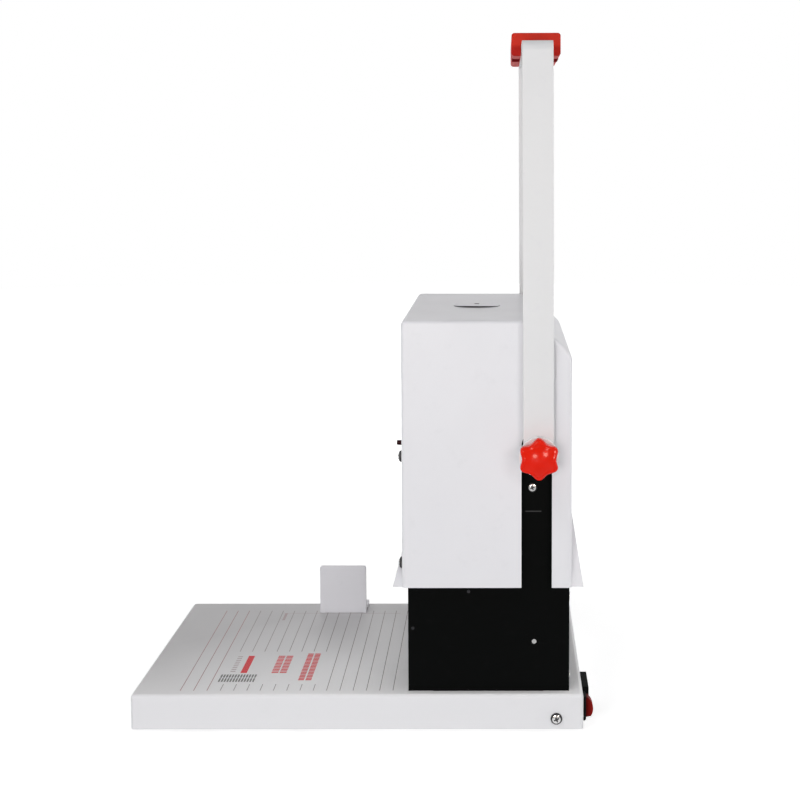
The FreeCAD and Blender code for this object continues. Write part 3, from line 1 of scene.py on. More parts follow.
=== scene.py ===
import json
import math

import bmesh
import bpy
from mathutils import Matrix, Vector

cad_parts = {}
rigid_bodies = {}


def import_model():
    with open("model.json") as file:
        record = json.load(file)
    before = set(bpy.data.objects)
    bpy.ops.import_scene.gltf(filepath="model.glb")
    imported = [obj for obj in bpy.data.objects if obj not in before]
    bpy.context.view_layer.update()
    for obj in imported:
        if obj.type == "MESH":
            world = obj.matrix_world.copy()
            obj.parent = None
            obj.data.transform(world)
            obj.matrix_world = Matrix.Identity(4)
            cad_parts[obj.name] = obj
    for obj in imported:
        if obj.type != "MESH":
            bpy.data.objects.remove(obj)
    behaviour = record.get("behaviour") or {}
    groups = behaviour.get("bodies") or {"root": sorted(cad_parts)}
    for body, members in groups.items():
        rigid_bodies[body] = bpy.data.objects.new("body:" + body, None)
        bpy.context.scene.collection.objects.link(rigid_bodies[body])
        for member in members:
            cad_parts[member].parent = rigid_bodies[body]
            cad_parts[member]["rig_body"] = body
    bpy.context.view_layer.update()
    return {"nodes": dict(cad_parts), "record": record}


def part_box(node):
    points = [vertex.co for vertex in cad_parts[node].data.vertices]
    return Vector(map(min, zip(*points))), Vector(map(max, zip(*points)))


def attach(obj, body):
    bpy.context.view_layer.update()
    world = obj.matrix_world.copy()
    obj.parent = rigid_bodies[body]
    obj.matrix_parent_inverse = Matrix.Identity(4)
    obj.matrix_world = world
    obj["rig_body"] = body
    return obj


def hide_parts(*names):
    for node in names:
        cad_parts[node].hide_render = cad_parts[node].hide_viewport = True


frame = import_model()
nodes = frame["nodes"]
scene = bpy.context.scene

UP = Vector((0, 0, 1))
ALONG_X = Vector((1, 0, 0))
ALONG_Y = Vector((0, 1, 0))

# Camera, fitted to the photograph
FRAME_PIXELS = 800.0
SENSOR_MM = 36.0
FOCAL_PIXELS = 1691.4
LENS_SHIFT = (-0.134, -0.10)
CAMERA_PLACE = (1.8105, 0.1403, 0.5660)
CAMERA_PITCH = math.radians(5.376)
CAMERA_YAW = math.radians(0.135)


def make_camera():
    """It looks at the machine's right-hand side, slightly from above."""
    data = bpy.data.cameras.new("camera")
    data.sensor_width = SENSOR_MM
    data.lens = FOCAL_PIXELS / FRAME_PIXELS * SENSOR_MM
    data.shift_x, data.shift_y = LENS_SHIFT
    camera = bpy.data.objects.new("camera", data)
    camera.location = CAMERA_PLACE
    level = Vector((-math.cos(CAMERA_YAW), math.sin(CAMERA_YAW), 0.0))
    forward = level * math.cos(CAMERA_PITCH) - UP * math.sin(CAMERA_PITCH)
    camera.rotation_mode = "QUATERNION"
    camera.rotation_quaternion = forward.to_track_quat("-Z", "Y")
    scene.collection.objects.link(camera)
    scene.camera = camera


make_camera()


# Node trees. A mix node keeps its factor, its two colours and its result at these places.
MIX_INPUTS = (0, 6, 7)
MIX_RESULT = 2


class Nodes:
    """Short names for building the nodes of a material or of the world."""

    def __init__(self, owner):
        owner.use_nodes = True
        self.nodes = owner.node_tree.nodes
        self.links = owner.node_tree.links
        self.nodes.clear()

    def add(self, kind):
        return self.nodes.new("ShaderNode" + kind)

    def put(self, socket, value):
        """Link another socket to an input, or set a number, a vector or a colour on it."""
        if isinstance(value, bpy.types.NodeSocket):
            self.links.new(value, socket)
        elif socket.type == "RGBA":
            socket.default_value = (*value, 1.0)
        else:
            socket.default_value = value

    def axes(self, vector):
        """The X, Y and Z of a vector."""
        node = self.add("SeparateXYZ")
        self.put(node.inputs[0], vector)
        return node.outputs

    def span(self, value, low, high, from_low=0.3, from_high=0.7):
        """A value carried from one range to another."""
        node = self.add("MapRange")
        self.put(node.inputs["Value"], value)
        limits = {"From Min": from_low, "From Max": from_high, "To Min": low, "To Max": high}
        for name, limit in limits.items():
            self.put(node.inputs[name], limit)
        return node.outputs["Result"]

    def mix(self, factor, first, second):
        """Two colours mixed by a factor. Each of the three may be a socket."""
        node = self.add("Mix")
        node.data_type = "RGBA"
        for index, value in zip(MIX_INPUTS, (factor, first, second)):
            self.put(node.inputs[index], value)
        return node.outputs[MIX_RESULT]

    def combine(self, operation, first, second):
        """One number from two."""
        node = self.add("Math")
        node.operation = operation
        self.put(node.inputs[0], first)
        self.put(node.inputs[1], second)
        return node.outputs[0]

    def seen(self, glossy_share):
        """1 for rays from the camera or through glass, and a share of it for reflected rays."""
        rays = self.add("LightPath").outputs
        glossy = self.combine("MULTIPLY", rays["Is Glossy Ray"], glossy_share)
        straight = self.combine("MAXIMUM", rays["Is Camera Ray"], rays["Is Transmission Ray"])
        return self.combine("MAXIMUM", straight, glossy)


class Finish(Nodes):
    """A material with one shader. Its patterns follow the object's own coordinates."""

    def __init__(self, name):
        self.material = bpy.data.materials.new(name)
        super().__init__(self.material)
        self.shader = self.add("BsdfPrincipled")
        self.put(self.add("OutputMaterial").inputs["Surface"], self.shader.outputs["BSDF"])
        self.coords = self.add("TexCoord").outputs["Object"]

    def stretch(self, scale):
        """The coordinates, scaled along each axis."""
        node = self.add("Mapping")
        self.put(node.inputs["Scale"], scale)
        self.put(node.inputs["Vector"], self.coords)
        return node.outputs["Vector"]

    def noise(self, scale, detail=2.0, rough=0.5, vector=None):
        node = self.add("TexNoise")
        for name, value in (("Scale", scale), ("Detail", detail), ("Roughness", rough)):
            self.put(node.inputs[name], value)
        self.put(node.inputs["Vector"], vector or self.coords)
        return node.outputs["Fac"]

    def bump(self, height, depth):
        node = self.add("Bump")
        node.inputs["Strength"].default_value = 1.0
        node.inputs["Distance"].default_value = depth
        self.put(node.inputs["Height"], height)
        self.put(self.shader.inputs["Normal"], node.outputs["Normal"])

    def set(self, **values):
        for name, value in values.items():
            self.put(self.shader.inputs[name.replace("_", " ").title().replace("Ior", "IOR")], value)


# Kinds of finish. A noise is its waves per metre, its detail and its roughness. Depths are in metres.
DRIFT = (9.0, 3.0)
SHEEN = (25.0, 4.0)
STAINS = (45.0, 5.0, 0.6)
HANDLING = (60.0, 6.0, 0.65)
SCRATCHES = (70.0, 5.0, 0.6)
FLOW = (30.0, 3.0, 0.5)
FLOW_UPRIGHT = (1.0, 1.0, 0.35)
FLOW_LEVEL = (0.35, 1.0, 1.0)
PAINT_PEEL = 1500.0
PEEL_DEPTH = 0.00003
PLASTIC_GRAIN = (900.0, 3.0)
GRAIN_DEPTH = 0.00002
HANDLING_SPAN = (0.58, 0.75)
DRIFT_SHARE = 0.25
# Faces turned up this far get the table's painted light and shade
PAINTED_TOP_NORMAL = (0.6, 0.95)
SOILED = 0.8


def powder_coat(name, colour, shade, rough, peel=PAINT_PEEL, depth=PEEL_DEPTH, soil=0.5, specular=0.4):
    """Painted sheet metal: fine orange peel, slow colour drift, a few dull handling marks."""
    paint = Finish(name)
    drift = paint.span(paint.noise(*DRIFT), 0.0, 1.0)
    marks = paint.span(paint.noise(*HANDLING), 0.0, soil, *HANDLING_SPAN)
    drifted = tuple(a + DRIFT_SHARE * (b - a) for a, b in zip(colour, shade))
    paint.set(base_color=paint.mix(marks, paint.mix(drift, colour, drifted), shade))
    paint.set(roughness=paint.span(paint.noise(*SHEEN), *rough), specular_ior_level=specular)
    paint.bump(paint.noise(peel), depth)
    return paint.material


def table_coat_painted_light(name, side, far, near, start, per_x, per_y, rough, soil, specular):
    """The base's paint, with painted light and shade: the flat top is greyer than the sides, as less light
    falls on it, most of all away from the posts, and it is painted lighter towards the front edge and the
    posts.
    """
    paint = Finish(name)
    place = paint.axes(paint.coords)
    # Painted light and shade: the top runs from its darker far colour to its lighter near colour, towards
    # the front and the posts
    lit_share = paint.combine("ADD", paint.combine("MULTIPLY", place["X"], per_x),
                           paint.combine("MULTIPLY", place["Y"], per_y))
    top = paint.mix(paint.span(lit_share, 0.0, 1.0, -start, 1.0 - start), far, near)
    normal = paint.axes(paint.add("NewGeometry").outputs["True Normal"])
    plain = paint.mix(paint.span(normal["Z"], 0.0, 1.0, *PAINTED_TOP_NORMAL), side, top)
    marks = paint.span(paint.noise(*HANDLING), 0.0, soil, *HANDLING_SPAN)
    paint.set(base_color=paint.mix(marks, plain, tuple(SOILED * part for part in side)))
    paint.set(roughness=paint.span(paint.noise(*SHEEN), *rough), specular_ior_level=specular)
    paint.bump(paint.noise(PAINT_PEEL), PEEL_DEPTH)
    return paint.material


def moulded(name, colour, shade, rough, depth=GRAIN_DEPTH, specular=0.5):
    """Moulded plastic: faint flow lines, small scratches and a slight sheen change."""
    plastic = Finish(name)
    flow = plastic.span(plastic.noise(*FLOW, plastic.stretch(FLOW_UPRIGHT)), 0.0, 1.0)
    plastic.set(base_color=plastic.mix(flow, colour, shade), specular_ior_level=specular)
    plastic.set(roughness=plastic.span(plastic.noise(*SCRATCHES), *rough))
    plastic.bump(plastic.noise(*PLASTIC_GRAIN), depth)
    return plastic.material


def two_tone_painted_light(name, axis, reach, low, high, rough, specular):
    """Plastic painted darker at one end of an axis and lighter at the other: painted light and shade. Its
    low and high end are pairs of mottled colours.
    """
    plastic = Finish(name)
    # The share along the axis carries the painted light: low is the shaded colour, high the lit one
    share = plastic.span(plastic.axes(plastic.coords)[axis], 0.0, 1.0, *reach)
    flow = plastic.span(plastic.noise(*FLOW, plastic.stretch(FLOW_LEVEL)), 0.0, 1.0)
    plastic.set(base_color=plastic.mix(share, plastic.mix(flow, *low), plastic.mix(flow, *high)))
    plastic.set(roughness=plastic.span(plastic.noise(*SCRATCHES), *rough))
    plastic.set(specular_ior_level=specular)
    plastic.bump(plastic.noise(*PLASTIC_GRAIN), GRAIN_DEPTH)
    return plastic.material


def steel(name, colour, shade, rough, brush=(1.0, 1.0, 1.0), grain=400.0, depth=GRAIN_DEPTH):
    """Bare or plated metal with a brushed or turned grain and stained patches."""
    metal = Finish(name)
    stains = metal.span(metal.noise(*STAINS), 0.0, 1.0)
    grooves = metal.noise(grain, 3.0, 0.5, metal.stretch(brush))
    metal.set(base_color=metal.mix(stains, colour, shade), metallic=1.0)
    metal.set(roughness=metal.span(grooves, *rough))
    metal.bump(grooves, depth)
    return metal.material


def grey(level):
    return (level, level, level)


# Materials. The CAD's slots come first, then finishes of single pieces and the inks.
WHITE = (0.780, 0.775, 0.805)
WHITE_SHADE = (0.690, 0.688, 0.715)
ROCKER_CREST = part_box("switch_rocker")[1].y
# The rocker is painted lighter towards its crest: a painted highlight
ROCKER_HIGHLIGHT_REACH = (ROCKER_CREST - 0.0060, ROCKER_CREST - 0.0005)
# Below this height the grip is painted darker: a painted shadow of the arm
GRIP_SHADOW_EDGE = (0.6785, 0.6825)
INK_ROUGH = (0.4, 0.5)
FINISHES = {
    # The base's top wears painted light and shade: far is its shaded colour, near its lit one
    "white_steel": (table_coat_painted_light, dict(
        side=(0.800, 0.798, 0.820), far=(0.60, 0.59, 0.597), near=(0.99, 0.982, 0.99),
        start=0.74, per_x=3.4, per_y=3.4, rough=(0.50, 0.62), soil=0.10, specular=0.38)),
    "white_shell": (powder_coat, dict(
        colour=WHITE, shade=WHITE_SHADE, rough=(0.36, 0.46), peel=1100.0, depth=0.00002, soil=0.3)),
    "white_bar": (powder_coat, dict(
        colour=(0.735, 0.735, 0.742), shade=WHITE_SHADE, rough=(0.36, 0.48), peel=1300.0)),
    "stop_white": (powder_coat, dict(
        colour=(0.82, 0.812, 0.85), shade=(0.74, 0.738, 0.765), rough=(0.4, 0.5))),
    "black_steel": (powder_coat, dict(
        colour=(0.0018, 0.0022, 0.0022), shade=(0.004, 0.004, 0.0042), rough=(0.42, 0.56),
        peel=1700.0, depth=0.00004, soil=0.6, specular=0.03)),
    "motor_grey": (powder_coat, dict(
        colour=(0.10, 0.11, 0.125), shade=(0.06, 0.06, 0.065), rough=(0.36, 0.5))),
    "zinc_steel": (steel, dict(colour=grey(0.70), shade=grey(0.50), rough=(0.14, 0.26))),
    "dark_rivet": (steel, dict(colour=(0.05, 0.05, 0.055), shade=(0.03, 0.03, 0.035), rough=(0.25, 0.4))),
    "bright_steel": (steel, dict(
        colour=(0.62, 0.62, 0.63), shade=(0.52, 0.52, 0.53), rough=(0.12, 0.24), brush=(1.0, 1.0, 6.0))),
    "gear_steel": (steel, dict(colour=(0.42, 0.42, 0.43), shade=(0.30, 0.29, 0.28), rough=(0.28, 0.42))),
    "tool_steel": (steel, dict(
        colour=(0.46, 0.46, 0.48), shade=(0.36, 0.36, 0.37), rough=(0.2, 0.34), brush=(1.0, 1.0, 8.0))),
    "cast_bar": (steel, dict(
        colour=(0.20, 0.20, 0.21), shade=(0.13, 0.12, 0.12), rough=(0.5, 0.65), grain=250.0, depth=0.0001)),
    "bronze": (steel, dict(colour=(0.60, 0.42, 0.20), shade=(0.45, 0.30, 0.14), rough=(0.3, 0.42))),
    "aluminium_plate": (steel, dict(
        colour=(0.72, 0.72, 0.74), shade=(0.62, 0.62, 0.63), rough=(0.3, 0.42), brush=(0.2, 6.0, 1.0))),
    "socket_steel": (steel, dict(colour=(0.07, 0.07, 0.075), shade=grey(0.04), rough=(0.35, 0.5))),
    "spring_steel": (steel, dict(colour=(0.36, 0.36, 0.38), shade=(0.25, 0.25, 0.26), rough=(0.25, 0.38))),
    "magnet_grey": (steel, dict(colour=(0.55, 0.55, 0.56), shade=(0.45, 0.45, 0.46), rough=(0.15, 0.25))),
    # The hub discs are painted whiter than the arm: painted light against the knobs' shadow on them
    "disc_white": (moulded, dict(colour=grey(0.92), shade=grey(0.88), rough=(0.3, 0.4))),
    "nylon": (moulded, dict(colour=(0.74, 0.72, 0.66), shade=(0.66, 0.63, 0.56), rough=(0.45, 0.6))),
    "rubber": (moulded, dict(
        colour=(0.018, 0.018, 0.019), shade=(0.030, 0.030, 0.031), rough=(0.7, 0.85), depth=0.00006)),
    "red_plastic": (moulded, dict(
        colour=(0.80, 0.013, 0.0), shade=(0.72, 0.008, 0.0), rough=(0.18, 0.24), depth=0.00001,
        specular=0.2)),
    "lamp_red": (moulded, dict(
        colour=(0.026, 0.0018, 0.0040), shade=(0.018, 0.0014, 0.003), rough=(0.2, 0.3), depth=0.0,
        specular=0.08)),
    # The rocker's lighter crest colour is a painted highlight
    "switch_red": (two_tone_painted_light, dict(
        axis="Y", reach=ROCKER_HIGHLIGHT_REACH, low=((0.10, 0.004, 0.004), (0.08, 0.003, 0.003)),
        high=((0.27, 0.012, 0.009), (0.24, 0.010, 0.008)), rough=(0.35, 0.45), specular=0.02)),
    "black_plastic": (moulded, dict(
        colour=(0.004, 0.004, 0.0045), shade=(0.008, 0.008, 0.0085), rough=(0.55, 0.7), specular=0.03)),
    "board_green": (moulded, dict(colour=(0.02, 0.13, 0.06), shade=(0.015, 0.09, 0.04), rough=(0.3, 0.42))),
    # The grip's darker low colour is a painted shadow of the arm
    "grip_red": (two_tone_painted_light, dict(
        axis="Z", reach=GRIP_SHADOW_EDGE, low=((0.50, 0.015, 0.009), (0.45, 0.013, 0.008)),
        high=((0.70, 0.034, 0.018), (0.64, 0.028, 0.014)), rough=(0.50, 0.62), specular=0.10)),
    # Dark red for painted shade under the grip
    "deep_red": (moulded, dict(
        colour=(0.22, 0.010, 0.012), shade=(0.17, 0.008, 0.009), rough=(0.65, 0.8), specular=0.0)),
    # A grey lighter than the black plate: a painted highlight on the raised line
    "seam_grey": (moulded, dict(
        colour=(0.035, 0.035, 0.036), shade=grey(0.05), rough=(0.6, 0.75), specular=0.05)),
    "ink_dark": (moulded, dict(colour=grey(0.10), shade=(0.15, 0.14, 0.14), rough=INK_ROUGH)),
    "ink_line": (moulded, dict(colour=(0.27, 0.235, 0.24), shade=(0.33, 0.28, 0.285), rough=INK_ROUGH)),
    "ink_line_red": (moulded, dict(colour=(0.40, 0.17, 0.175), shade=(0.31, 0.185, 0.19), rough=INK_ROUGH)),
    "ink_red": (moulded, dict(
        colour=(0.86, 0.045, 0.058), shade=(0.70, 0.055, 0.065), rough=(0.5, 0.6), specular=0.1)),
    "ink_pale": (moulded, dict(colour=(0.44, 0.33, 0.34), shade=(0.40, 0.34, 0.35), rough=INK_ROUGH)),
}
materials = {name: make(name, **values) for name, (make, values) in FINISHES.items()}
node_slots = {entry["node"]: entry["material_slot"] for entry in frame["record"]["subparts"]}


def wear(obj, finish):
    """Give an object one material."""
    obj.data.materials.clear()
    obj.data.materials.append(materials[finish])


for name, obj in nodes.items():
    wear(obj, node_slots[name])


# Mesh helpers. Faces that meet at less than these angles, in degrees, are shaded as one.
SMOOTH_TURNED = 50.0
SMOOTH_TRIM = 40.0
TURNS = 48


def new_piece(name, mesh, slot, body, finish=None):
    """Link a mesh as a piece that rides on a body. It wears its slot's material or a finish of its own."""
    obj = bpy.data.objects.new(name, mesh)
    scene.collection.objects.link(obj)
    wear(obj, finish or slot)
    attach(obj, body)
    return obj


def smooth_mesh(name, bm, angle):
    """The mesh of closed forms: faces turned outwards and shaded smooth up to an angle in degrees."""
    bmesh.ops.recalc_face_normals(bm, faces=bm.faces)
    bm.normal_update()
    mesh = bpy.data.meshes.new(name)
    bm.to_mesh(mesh)
    bm.free()
    mesh.shade_smooth()
    mesh.set_sharp_from_angle(angle=math.radians(angle))
    return mesh


def join_loops(bm, loops):
    """Faces between each closed loop of vertices and the next."""
    for first, second in zip(loops, loops[1:]):
        for k in range(len(first)):
            n = (k + 1) % len(first)
            bm.faces.new((first[k], first[n], second[n], second[k]))


def bar(bm, centre, axis, along, length, width, low, high):
    """A straight bar across an axis, between two heights."""
    across = axis.cross(along)
    loops = []
    for height in (low, high):
        middle = centre + axis * height
        loops.append([bm.verts.new(middle + along * (sx * length / 2) + across * (sy * width / 2))
                      for sx, sy in ((-1, -1), (1, -1), (1, 1), (-1, 1))])
    bm.faces.new(loops[0][::-1])
    bm.faces.new(loops[1])
    join_loops(bm, loops)


def ring_points(centre, axis, radius):
    """Points of a circle round an axis."""
    side = axis.orthogonal().normalized()
    other = axis.cross(side)
    angles = [2 * math.pi * step / TURNS for step in range(TURNS)]
    return [centre + (side * math.cos(angle) + other * math.sin(angle)) * radius for angle in angles]


def lathe(bm, centre, axis, profile):
    """A turned solid from (radius, height) pairs, closed at both ends."""
    loops = [[bm.verts.new(point) for point in ring_points(centre + axis * height, axis, radius)]
             for radius, height in profile]
    join_loops(bm, loops)
    bm.faces.new(loops[0][::-1])
    bm.faces.new(loops[-1])


# Softened edges, as paint and press leave them
WELD = 0.000002
FLAT_ANGLE = math.radians(0.4)
SHARP_ANGLE = math.radians(40.0)
PRESSED_EDGE = 0.0018
SHEET_EDGE = 0.0004
GRIP_EDGE = 0.0014
FINE_STEPS = 3
NEAR_SIDE = 0.003
BASE_FOLD = 0.005
HOOD_RIM = 0.01
UPRIGHT = 0.7
SOFT_EDGES = {
    "handle_bar": 0.0008, "side_stop": 0.0006, "side_plate_left": 0.0004, "side_plate_right": 0.0004,
    "drill_guide_plate": 0.0004, "back_gauge": 0.0004, "hub_discs": 0.0006, "switch_housing": 0.0003,
    "power_inlet": 0.0005, "rubber_feet": 0.0004,
}


def weigh_edges(bm, width, wide, wide_width):
    """Bevel weights on the sharp edges. Those for which wide(middle, direction) holds get the wide one."""
    weights = bm.edges.layers.float.new("bevel_weight_edge")
    for edge in bm.edges:
        if len(edge.link_faces) != 2 or edge.calc_face_angle(0.0) < SHARP_ANGLE:
            continue
        first, second = (vert.co for vert in edge.verts)
        is_wide = wide is not None and wide((first + second) / 2, (second - first).normalized())
        edge[weights] = (wide_width if is_wide else width) / max(width, wide_width)


def softened(node, width, segments=2, wide=None, wide_width=0.0, finish=None):
    """The CAD node again with its sharp edges rounded, in the place of the node."""
    source = nodes[node]
    bm = bmesh.new()
    bm.from_mesh(source.data)
    bmesh.ops.remove_doubles(bm, verts=bm.verts, dist=WELD)
    bmesh.ops.dissolve_limit(bm, angle_limit=FLAT_ANGLE, verts=bm.verts, edges=bm.edges)
    weigh_edges(bm, width, wide, wide_width)
    mesh = bpy.data.meshes.new(node + "_soft")
    bm.to_mesh(mesh)
    bm.free()
    mesh.shade_smooth()
    obj = new_piece(node + "_dressed", mesh, node_slots[node], source["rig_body"], finish)
    bevel = obj.modifiers.new("edge", "BEVEL")
    bevel.width = max(width, wide_width)
    bevel.segments = segments
    bevel.limit_method = "WEIGHT"
    bevel.use_clamp_overlap = True
    weighted = obj.modifiers.new("normals", "WEIGHTED_NORMAL")
    weighted.keep_sharp = True
    graph = bpy.context.evaluated_depsgraph_get()
    rounded = bpy.data.meshes.new_from_object(obj.evaluated_get(graph))
    obj.modifiers.clear()
    obj.data = rounded
    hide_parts(node)


def outer_edge(node, bottom):
    """Test for the edges where two of a sheet part's outer sides meet, above a height."""
    low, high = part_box(node)

    def test(middle, direction):
        on_side = abs(middle.x) > high.x - NEAR_SIDE
        on_end = middle.y < low.y + NEAR_SIDE or middle.y > high.y - NEAR_SIDE
        on_top = middle.z > high.z - NEAR_SIDE
        return middle.z > bottom and on_side + on_end + on_top >= 2

    return test


HOOD_LOW, HOOD_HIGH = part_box("hood")


def hood_edge(middle, direction):
    """The hood's long outer edges: round its top, down its front and along its rear slope."""
    upright = abs(direction.z) > UPRIGHT and abs(middle.x) > HOOD_HIGH.x - NEAR_SIDE
    crown = middle.z > HOOD_HIGH.z - NEAR_SIDE
    return crown or upright and middle.z > HOOD_LOW.z + HOOD_RIM


for node, width in SOFT_EDGES.items():
    softened(node, width)
softened("base_tray", SHEET_EDGE, FINE_STEPS, outer_edge("base_tray", BASE_FOLD), PRESSED_EDGE)
softened("hood", SHEET_EDGE, FINE_STEPS, hood_edge, PRESSED_EDGE)


# Print on the table. Its places and sizes are in millimetres.
MM = 0.001
TABLE_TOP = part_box("base_tray")[1].z
INK_HEIGHT = 0.00006
LINE_WIDTH = 0.75
LINE_PITCH = 13.28
LINE_COUNT = 17
LINE_FIRST = -182.5
LINE_FRONT = 162.0
LINE_BACK = -139.0
LINE_LEAN = 2.0 / 300.0
LINE_GAP = (27.0, 141.0)
RED_LINES = (0, 1, 2)
BROKEN_LINES = range(3, 11)

# Patches of bars: x from and to, y from and to, pitch, share of ink, bars along x
DARK_PATCHES = (
    (109.0, 119.5, -150.5, -112.5, 2.9, 0.62, True),
    (121.5, 133.5, -150.5, -112.5, 2.9, 0.62, True),
)
RED_PATCHES = (
    (43.0, 105.0, -131.5, -125.0, 3.2, 0.9, False),
    (42.0, 107.0, -99.5, -92.5, 5.2, 0.6, False),
    (42.0, 107.0, -91.0, -84.0, 5.2, 0.6, False),
    (34.0, 130.0, -69.0, -63.0, 5.0, 0.66, False),
    (34.0, 130.0, -61.5, -55.5, 5.0, 0.66, False),
)
PALE_PATCHES = ((43.0, 104.0, -142.5, -137.5, 6.5, 0.35, False),)

# Single bars: a centre, two half sizes and a lean
PALE_DASH = (-113.0, -113.0, 15.0, 1.5, 0.0)
CROSS_LINE = (-128.0, -49.0, 0.35, 69.0, 0.0)


def print_piece(name, ink, slot, bars):
    """Thin printed bars on the table's top: each is a centre, two half sizes and a lean."""
    bm = bmesh.new()
    for x, y, half_x, half_y, lean in bars:
        corners = [(x + sx * half_x, y + sy * half_y + lean * sx * half_x)
                   for sx, sy in ((-1, -1), (1, -1), (1, 1), (-1, 1))]
        low = [bm.verts.new((a * MM, b * MM, TABLE_TOP)) for a, b in corners]
        high = [bm.verts.new((a * MM, b * MM, TABLE_TOP + INK_HEIGHT)) for a, b in corners]
        bm.faces.new(high)
        bm.faces.new(low[::-1])
        join_loops(bm, [low, high])
    mesh = bpy.data.meshes.new(name)
    bm.to_mesh(mesh)
    bm.free()
    new_piece(name, mesh, slot, nodes["base_plate"]["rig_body"], finish=ink)


def line_bar(index, x_from, x_to):
    """One printed line, or a stretch of it."""
    middle = (x_from + x_to) / 2
    y = LINE_FIRST + LINE_PITCH * index + LINE_LEAN * (middle - LINE_FRONT)
    return (middle, y, (x_to - x_from) / 2, LINE_WIDTH / 2, LINE_LEAN)


def hatch(x_low, x_high, y_low, y_high, pitch, share, along_x):
    """A plain patch of equal bars, in the place of lettering."""
    low, high = (y_low, y_high) if along_x else (x_low, x_high)
    bars = []
    for k in range(int((high - low) / pitch)):
        at = low + pitch * (k + 0.5)
        if along_x:
            bars.append(((x_low + x_high) / 2, at, (x_high - x_low) / 2, pitch * share / 2, 0.0))
        else:
            bars.append((at, (y_low + y_high) / 2, pitch * share / 2, (y_high - y_low) / 2, 0.0))
    return bars


def hatches(patches):
    """The bars of several patches."""
    return [ink_bar for patch in patches for ink_bar in hatch(*patch)]


def print_table():
    """Guide lines across the table, red in front, and the patches between them."""
    dark, red = [], []
    for index in range(LINE_COUNT):
        group = red if index in RED_LINES else dark
        if index in BROKEN_LINES:
            group.append(line_bar(index, LINE_BACK, LINE_GAP[0]))
            group.append(line_bar(index, LINE_GAP[1], LINE_FRONT))
        else:
            group.append(line_bar(index, LINE_BACK, LINE_FRONT))
    print_piece("table_lines", "ink_line", "black_plastic", dark)
    print_piece("table_lines_red", "ink_line_red", "red_plastic", red)
    print_piece("table_marks_dark", "ink_dark", "black_plastic", hatches(DARK_PATCHES))
    print_piece("table_marks_red", "ink_red", "red_plastic", hatches(RED_PATCHES))
    print_piece("table_marks_pale", "ink_pale", "red_plastic", hatches(PALE_PATCHES) + [PALE_DASH])
    print_piece("table_cross_line", "ink_pale", "black_plastic", [CROSS_LINE])


print_table()


# Star knobs and grip. The knob's waist, dome and back are shares of its own size.
KNOB_LOBES = 6
KNOB_TIP_SHARPNESS = 1.25
KNOB_WAIST = 0.81
KNOB_DOME = 1.35
KNOB_BACK = 0.22
KNOB_EDGE = 0.0022
KNOB_RIM_WIDTH = 1.6 * KNOB_EDGE
KNOB_RIM_DEPTH = 1.3 * KNOB_EDGE
KNOB_STEM = 0.0095
STEM_FLARE = (0.002, 0.001)
STEM_EDGE = 0.0004
KNOB_TURNS = 144
KNOB_DOME_RINGS = 12
KNOB_RIM_STEPS = 6
KNOB_BACK_STEPS = 3


def quarter_turn(first, steps):
    """Angles of a quarter turn in equal steps, from the first of them on."""
    return [math.pi / 2 * k / steps for k in range(first, steps + 1)]


def knob_reach(angle, tip):
    """Outline of the six-lobed knob, one lobe up."""
    lobe = (1 + math.cos(KNOB_LOBES * angle)) / 2
    return tip * (KNOB_WAIST + (1 - KNOB_WAIST) * lobe ** KNOB_TIP_SHARPNESS)


def knob_profile(reach, tip, inner, front):
    """The knob's section where it reaches so far out: a radius and a place along its axis per ring."""
    ball = KNOB_DOME * tip
    back = inner + KNOB_BACK * (front - inner)
    inset = reach - KNOB_RIM_WIDTH

    def dome(radius):
        return front - (ball - math.sqrt(ball ** 2 - radius ** 2))

    radii = [inset * k / KNOB_DOME_RINGS for k in range(1, KNOB_DOME_RINGS + 1)]
    rings = [(radius, dome(radius)) for radius in radii]
    for turn in quarter_turn(1, KNOB_RIM_STEPS):
        depth = KNOB_RIM_DEPTH * (1 - math.cos(turn))
        rings.append((inset + KNOB_RIM_WIDTH * math.sin(turn), dome(inset) - depth))
    rings.append((reach, (dome(inset) + back) / 2))
    for turn in quarter_turn(0, KNOB_BACK_STEPS):
        rings.append((reach - KNOB_EDGE * (1 - math.cos(turn)), back + KNOB_EDGE * (1 - math.sin(turn))))
    rings.append((KNOB_STEM + STEM_FLARE[0], back))
    rings.append((KNOB_STEM, back - STEM_FLARE[1]))
    rings.append((KNOB_STEM, inner + STEM_EDGE))
    rings.append((KNOB_STEM - STEM_EDGE, inner))
    return rings


def star_knob(node, side):
    """Moulded knob: a domed front that runs out into six rounded lobes, and a stem behind."""
    low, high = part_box(node)
    centre = (low + high) / 2
    tip = (high.z - low.z) / 2
    inner, front = sorted((low.x * side, high.x * side))
    bm = bmesh.new()
    columns = []
    for step in range(KNOB_TURNS):
        angle = 2 * math.pi * step / KNOB_TURNS
        across, up = math.sin(angle), math.cos(angle)
        profile = knob_profile(knob_reach(angle, tip), tip, inner, front)
        columns.append([bm.verts.new((side * x, centre.y + radius * across, centre.z + radius * up))
                        for radius, x in profile])
    loops = list(zip(*columns))
    join_loops(bm, loops)
    middle = bm.verts.new((side * front, centre.y, centre.z))
    for here, after in zip(loops[0], loops[0][1:] + loops[0][:1]):
        bm.faces.new((middle, after, here))
    bm.faces.new(loops[-1])
    piece = new_piece(node + "_moulded", smooth_mesh(node + "_moulded", bm, SMOOTH_TURNED), "red_plastic",
                      nodes[node]["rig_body"])
    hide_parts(node)


star_knob("star_knob_right", 1)
star_knob("star_knob_left", -1)
# The grip wears a painted shadow of the arm below the arm's top
softened("grip", GRIP_EDGE, FINE_STEPS, finish="grip_red")


